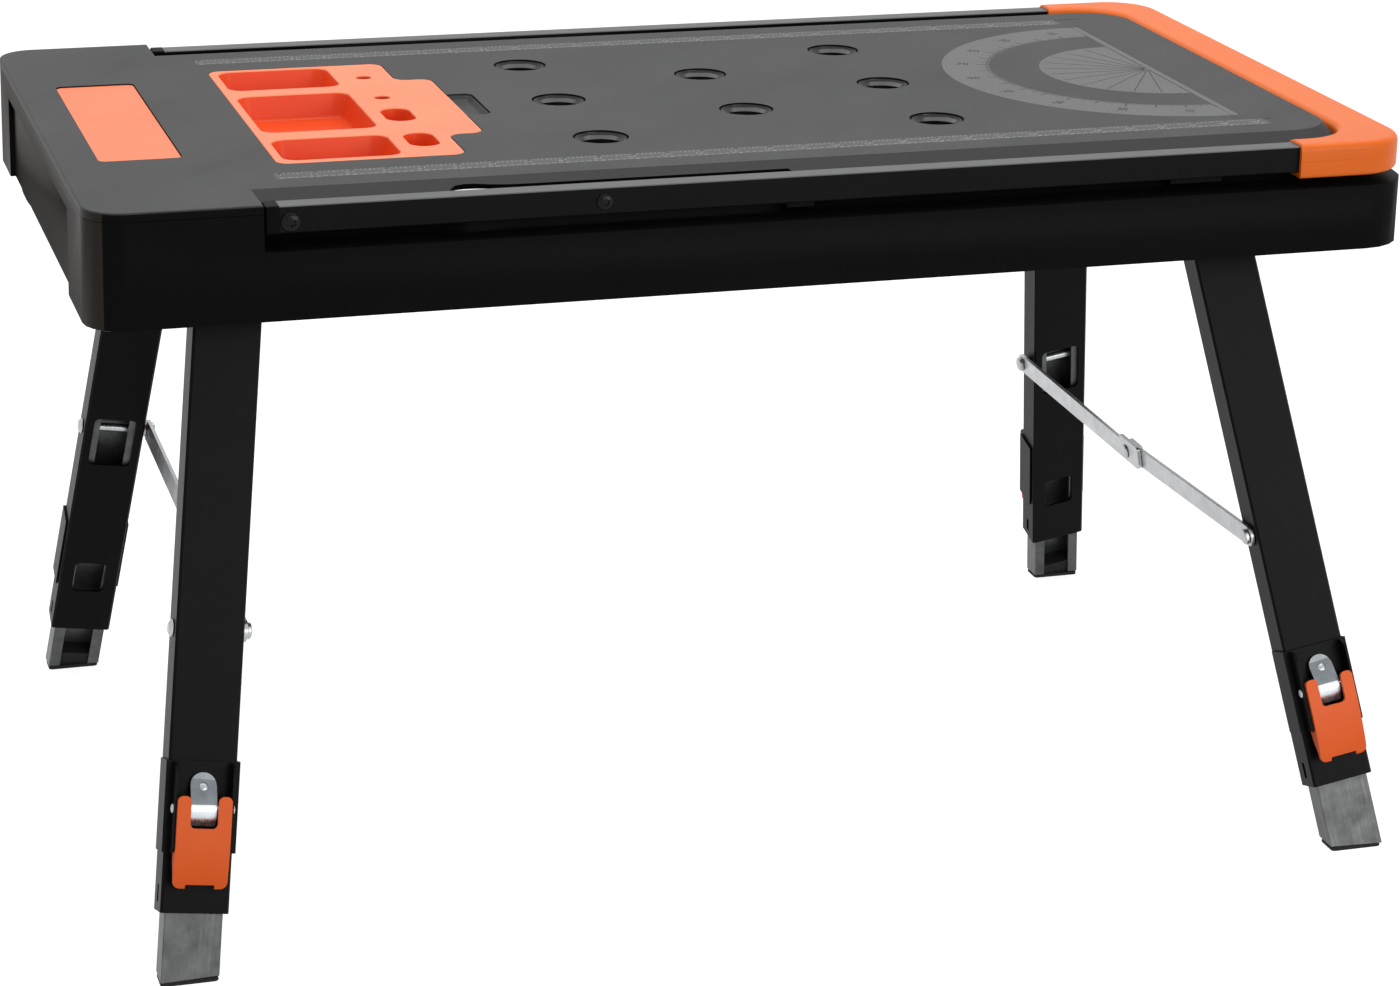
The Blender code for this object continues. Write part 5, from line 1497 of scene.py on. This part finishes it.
@dataclass
class Leg(Assembly):
    """One leg: tube, telescopic channel, foot, and the height latch."""

    bent: Bent
    side: int
    axle: Point = (0.0, 21.0, -392.0)
    axle_half: float = 21.0
    axle_radius: float = 2.4
    bore_radius: float = 2.7
    measures: Latch = Latch()

    @property
    def prefix(self) -> str:
        """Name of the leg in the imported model."""
        return f"{self.bent.name}_{'near' if self.side < 0 else 'far'}"

    def grain(self) -> Point:
        """Turn that lays the third axis of a pattern along the leg."""
        way = (self.bent.leg(self.side).to_3x3() @ Vector((0.0, 0.0, 1.0))).normalized()
        turn = way.rotation_difference(Vector((0.0, 0.0, 1.0))).to_euler()
        return turn.x, turn.y, turn.z

    def part(self, cad: str, name: str, finish: Finish, width: float, body: str) -> None:
        """Dresses one of the leg's nodes; all three names go on from the leg's own."""
        self.dress(self.prefix + cad, self.prefix + name, finish, width, self.prefix + body)

    def tube(self) -> None:
        """Dresses the outer tube."""
        tube = self.softened(self.prefix + "_outer_tube", self.prefix + "_tube", Shop.coat, 0.9, 3)
        # On the left legs, faces to the left take a warm brown coat: painted light from the left.
        if self.bent.toward > 0:
            Shop.worn_coat.on_faces(tube, lambda c, n: n.x < COAT_LEFTWARD)
        self.adopt(tube, self.prefix + "_leg", self.prefix + "_outer_tube")

    def channel(self) -> None:
        """Dresses the telescopic channel, dull and scratched along its length, and the rubber foot."""
        name = "galvanised_steel_rolled_" + self.prefix
        steel = RolledSteel(name, "#434444", "#5d5e5e", 0.42, self.grain(), 0.75)
        self.part("_inner_leg", "_channel", steel, 0.6, "_inner")
        self.part("_foot", "_sole", Shop.rubber, 0.5, "_inner")

    def latch(self) -> None:
        """Dresses the latch: bracket, lever and strap."""
        self.part("_latch_bracket", "_bracket", Shop.coat, 0.35, "_leg")
        lever = ease(self.lever(), 0.5, 2, 40.0)
        settle(lever, self.prefix + "_lever_grip", WORLD @ self.bent.leg(self.side), 40.0)
        self.adopt(Shop.lever.on(lever), self.prefix + "_lever", self.prefix + "_latch_lever")
        self.adopt(self.strap(), self.prefix + "_leg", self.prefix + "_latch_strap")

    def lever(self) -> Piece:
        """Shapes the hollow lever: two rounded ears round a slot, a bowed face and a notch at its foot."""
        latch = self.measures
        top, foot, half, face, back = latch.top, latch.foot, latch.half, latch.face, latch.back
        near = latch.reach[0]
        side = [(26.6, -top - 1.7), (28.6, -top - 0.4), (face - 0.3, -top)]
        for step in range(latch.bow_steps + 1):
            share = step / latch.bow_steps
            side.append((face - latch.bow * share**4, -top - 0.6 - (foot - top - 1.8) * share))
        side += [(face - latch.bow - 0.8, -foot), (24.0, -foot), (23.5, -foot + 8.0)]
        side += [(back + 3.0, -foot + 18.0), (back, -404.0), (back, self.axle[2]), (18.5, -387.4)]
        lever = loft([across(side, u) for u in (-half, half)])
        front = rounded(-half, half, -foot, -top + 0.1, (5.0, 5.0, latch.ear, latch.ear))
        combine(lever, [loft([facing(front, v) for v in (near, face + 1.0)])], "INTERSECT")
        rear, skin = face - 5.4, face - latch.skin
        hollow = [(near, -foot + 5.0), (rear, -foot + 5.0), (skin, -foot + 14.0), (skin, -top + 1.0)]
        hollow.append((near, -top + 1.0))
        cut(lever, loft([across(hollow, u) for u in (latch.wall - half, half - latch.wall)]))
        slot_half, slot_foot = latch.slot
        notch_half, notch_height = latch.notch
        slot = rounded(-slot_half, slot_half, -slot_foot, -top + 4.0, (3.5, 3.5, 0.1, 0.1))
        notch = rounded(-notch_half, notch_half, -foot - 3.0, -foot + notch_height, (0.1, 0.1, 0.8, 0.8))
        for outline in (slot, notch):
            cut(lever, loft([facing(outline, v) for v in (20.0, face + 1.0)]))
        for start, stop in ((-half, -slot_half), (slot_half, half)):
            ear = rounded(start, stop, -top - 12.0, -top + 0.1, (0.1, 0.1, latch.ear, latch.ear))
            left, right, low, high = start - 1.0, stop + 1.0, -top - 5.0, -top + 2.0
            blank = [(left, low), (right, low), (right, high), (left, high)]
            waste = loft([facing(blank, v) for v in (near, face + 2.0)])
            cut(waste, loft([facing(ear, v) for v in (near - 1.0, face + 3.0)]))
            cut(lever, waste)
        cut(lever, rod(-half - 1.0, half + 1.0, self.bore_radius, self.axle, "x"))
        return lever

    def strap(self) -> Piece:
        """Shapes the sprung strap, kinked over the axle and painted brighter below the kink as painted light,
        with its rivet.
        """
        frame = WORLD @ self.bent.leg(self.side)
        latch = self.measures
        half, kink, inner = latch.strap_half, latch.kink, latch.strap_back
        outer = [(v + latch.strap_thick, w) for v, w in reversed(inner)]
        strap = loft([across([*inner, *outer], u) for u in (-half, half)])
        front = rounded(-half, half, -403.8, inner[0][1], (0.8, 0.8, 9.0, 9.0))
        combine(strap, [loft([facing(front, v) for v in latch.reach])], "INTERSECT")
        ease(strap, 0.3, 2, 40.0)
        settle(strap, "strap", frame)
        Shop.spring.on(strap)
        inverse = frame.inverted()
        # Faces below the kink take the bright metal: painted light where the strap faces up.
        Shop.plate.on_faces(strap, lambda c, n: (inverse @ c).z < kink)
        head = head_shape(1.0, 0.4, Recess.NONE)
        out, rivet_depth = latch.rivet
        spots = [((0.0, out, rivet_depth), (0.0, 0.9, 0.45))]
        rivet = Fasteners(head, 3).build("rivet", Shop.zinc, spots, latch.rivet_radius, frame)
        pin = rod(13.6, out, latch.shank_radius, (0.0, 0.0, rivet_depth), "y")
        shank = Shop.zinc.on(settle(pin, "shank", frame))
        bpy.data.objects.remove(head, do_unlink=True)
        return merged(self.prefix + "_catch", [strap, rivet, shank])

    def fasteners(self) -> None:
        """Sets the screw heads on the latch axle and on the stay bolt, with their shanks."""
        frame = WORLD @ self.bent.leg(self.side)
        head = head_shape(1.0, 0.45, Recess.CROSS)
        _, out, height = self.axle
        spots = [((face * self.axle_half, out, height), (float(face), 0.0, 0.0)) for face in (-1, 1)]
        ends = Fasteners(head, 11).build(self.prefix + "_axle_heads", Shop.zinc, spots, 3.4, frame)
        pin = rod(-self.axle_half - 0.2, self.axle_half + 0.2, self.axle_radius, self.axle, "x")
        shank = Shop.zinc.on(settle(pin, "shank", frame))
        piece = merged(self.prefix + "_axle_screw", [ends, shank])
        self.adopt(piece, self.prefix + "_leg", self.prefix + "_latch_axle")
        bpy.data.objects.remove(head, do_unlink=True)
        self.part("_stay_bolt", "_pivot_bolt", Shop.zinc, 0.4, "_leg")

    def build(self) -> None:
        """Makes the whole leg."""
        self.tube()
        self.channel()
        self.latch()
        self.fasteners()


@dataclass
class FoldingEnd(Assembly):
    """A hinge beam with its pins, two legs and the stay between them."""

    bent: Bent

    def build(self) -> None:
        """Makes one end of the bench."""
        name = self.bent.name
        self.dress(name + "_hinge_beam", name + "_crossbar", Shop.coat, 0.6, name + "_beam")
        for side, place in ((-1, "near"), (1, "far")):
            leg = f"{name}_{place}"
            self.dress(leg + "_hinge_pin", leg + "_pivot_pin", Shop.zinc, 0.4, name + "_beam")
            self.dress(leg + "_stay_link", leg + "_stay_bar", Shop.zinc, 0.5, leg + "_stay")
            Leg(self.frame, self.bent, side).build()
        self.dress(name + "_stay_rivet", name + "_centre_rivet", Shop.zinc, 0.5, name + "_far_stay")


@dataclass
class Studio:
    """White floor, soft light from above and the camera at the picture's angle."""

    lens: float = 96.02
    shift: Flat = (-0.0362, 0.0007)
    location: Point = (-0.78265, -2.6741, 1.1724)
    azimuth: float = -17.494
    elevation: float = 18.9
    roll: float = 1.055
    sensor: float = 36.0
    fill: float = 0.55
    glow: float = 0.88
    paper: str = "#9c9c9c"
    floor_half: float = 9.0
    lamps: tuple[tuple[str, Point, Point, Flat, float], ...] = (
        ("overhead", (0.1, 0.5, 2.6), (0.0, 0.0, 0.4), (3.2, 2.4), 50.0),
        ("front", (1.1, -2.7, 1.0), (0.0, 0.0, 0.3), (2.2, 1.2), 32.0))

    def camera(self) -> None:
        """Places the camera."""
        az, el, roll = (math.radians(v) for v in (self.azimuth, self.elevation, self.roll))
        right = Vector((math.cos(az), math.sin(az), 0.0))
        back = Vector((math.sin(az) * math.cos(el), -math.cos(az) * math.cos(el), math.sin(el)))
        up = back.cross(right)
        side = right * math.cos(roll) + up * math.sin(roll)
        head = up * math.cos(roll) - right * math.sin(roll)
        data = bpy.data.cameras.new("camera")
        data.lens, data.sensor_width = self.lens, self.sensor
        data.shift_x, data.shift_y = self.shift
        eye = linked("camera", data)
        axes = Matrix((side, head, back)).transposed().to_4x4()
        eye.matrix_world = Matrix.Translation(self.location) @ axes
        bpy.context.scene.camera = eye

    def seen(self, tree: bpy.types.NodeTree) -> bpy.types.NodeSocket:
        """Adds the sum of camera, glossy and transmission rays, which see the backdrop white."""
        path = node(tree, "ShaderNodeLightPath").outputs
        first = node(tree, "ShaderNodeMath", {"operation": "ADD"}, {
            0: path["Is Camera Ray"], 1: path["Is Glossy Ray"]})
        return node(tree, "ShaderNodeMath", {"operation": "ADD", "use_clamp": True}, {
            0: first.outputs[0], 1: path["Is Transmission Ray"]}).outputs[0]

    def world(self) -> None:
        """Makes a white world that lights the object only a little."""
        world = bpy.data.worlds.new("studio")
        bpy.context.scene.world = world
        world.use_nodes = True
        tree = world.node_tree
        strength = node(tree, "ShaderNodeMapRange", feeds={
            "Value": self.seen(tree), "To Min": self.fill, "To Max": 1.0}).outputs["Result"]
        backdrop = tree.nodes["Background"]
        backdrop.inputs["Color"].default_value = (1.0, 1.0, 1.0, 1.0)
        tree.links.new(strength, backdrop.inputs["Strength"])

    def floor(self) -> None:
        """Lays a white floor that keeps the object's shadow."""
        reach = (-self.floor_half, self.floor_half)
        floor = block(reach, reach, (-0.02, 0.0))
        floor.name = "floor"
        paper = bpy.data.materials.new("white_paper_matt")
        paper.use_nodes = True
        tree = paper.node_tree
        tree.nodes.remove(tree.nodes["Principled BSDF"])
        sheet = node(tree, "ShaderNodeBsdfDiffuse", feeds={"Color": linear(self.paper)})
        glow = node(tree, "ShaderNodeMath", {"operation": "MULTIPLY"}, {
            0: self.seen(tree), 1: self.glow}).outputs[0]
        light = node(tree, "ShaderNodeEmission", feeds={"Strength": glow})
        both = node(tree, "ShaderNodeAddShader", feeds={0: sheet.outputs[0], 1: light.outputs[0]})
        tree.links.new(both.outputs[0], tree.nodes["Material Output"].inputs["Surface"])
        floor.data.materials.append(paper)

    def lamp(self, name: str, place: Point, target: Point, size: Flat, power: float) -> None:
        """Hangs one soft box.

        Args:
            name: Name of the lamp.
            place: Where it hangs, in metres.
            target: Where it points.
            size: Its sides in metres.
            power: Its power in watts.
        """
        data = bpy.data.lights.new(name, "AREA")
        data.shape, data.energy = "RECTANGLE", power
        data.size, data.size_y = size
        lamp = linked(name, data)
        way = Vector(place) - Vector(target)
        lamp.matrix_world = Matrix.Translation(place) @ way.to_track_quat("Z", "Y").to_matrix().to_4x4()

    def build(self) -> None:
        """Sets up the whole studio."""
        self.camera()
        self.world()
        self.floor()
        for lamp in self.lamps:
            self.lamp(*lamp)
        bpy.context.scene.view_settings.view_transform = "Standard"


def main() -> None:
    """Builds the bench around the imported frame."""
    logging.basicConfig(level=logging.INFO, format="%(name)s: %(message)s")
    for found in list(bpy.data.objects):
        bpy.data.objects.remove(found, do_unlink=True)
    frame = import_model()
    Studio().build()
    for assembly in (TopCover, HeadInlay, ToolTray, Markings, Housing, HandleFrame, Wheels):
        assembly(frame).build()
    for bent in BENTS:
        FoldingEnd(frame, bent).build()
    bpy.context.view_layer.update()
    LOG.info("size written")


if __name__ == "__main__":
    main()
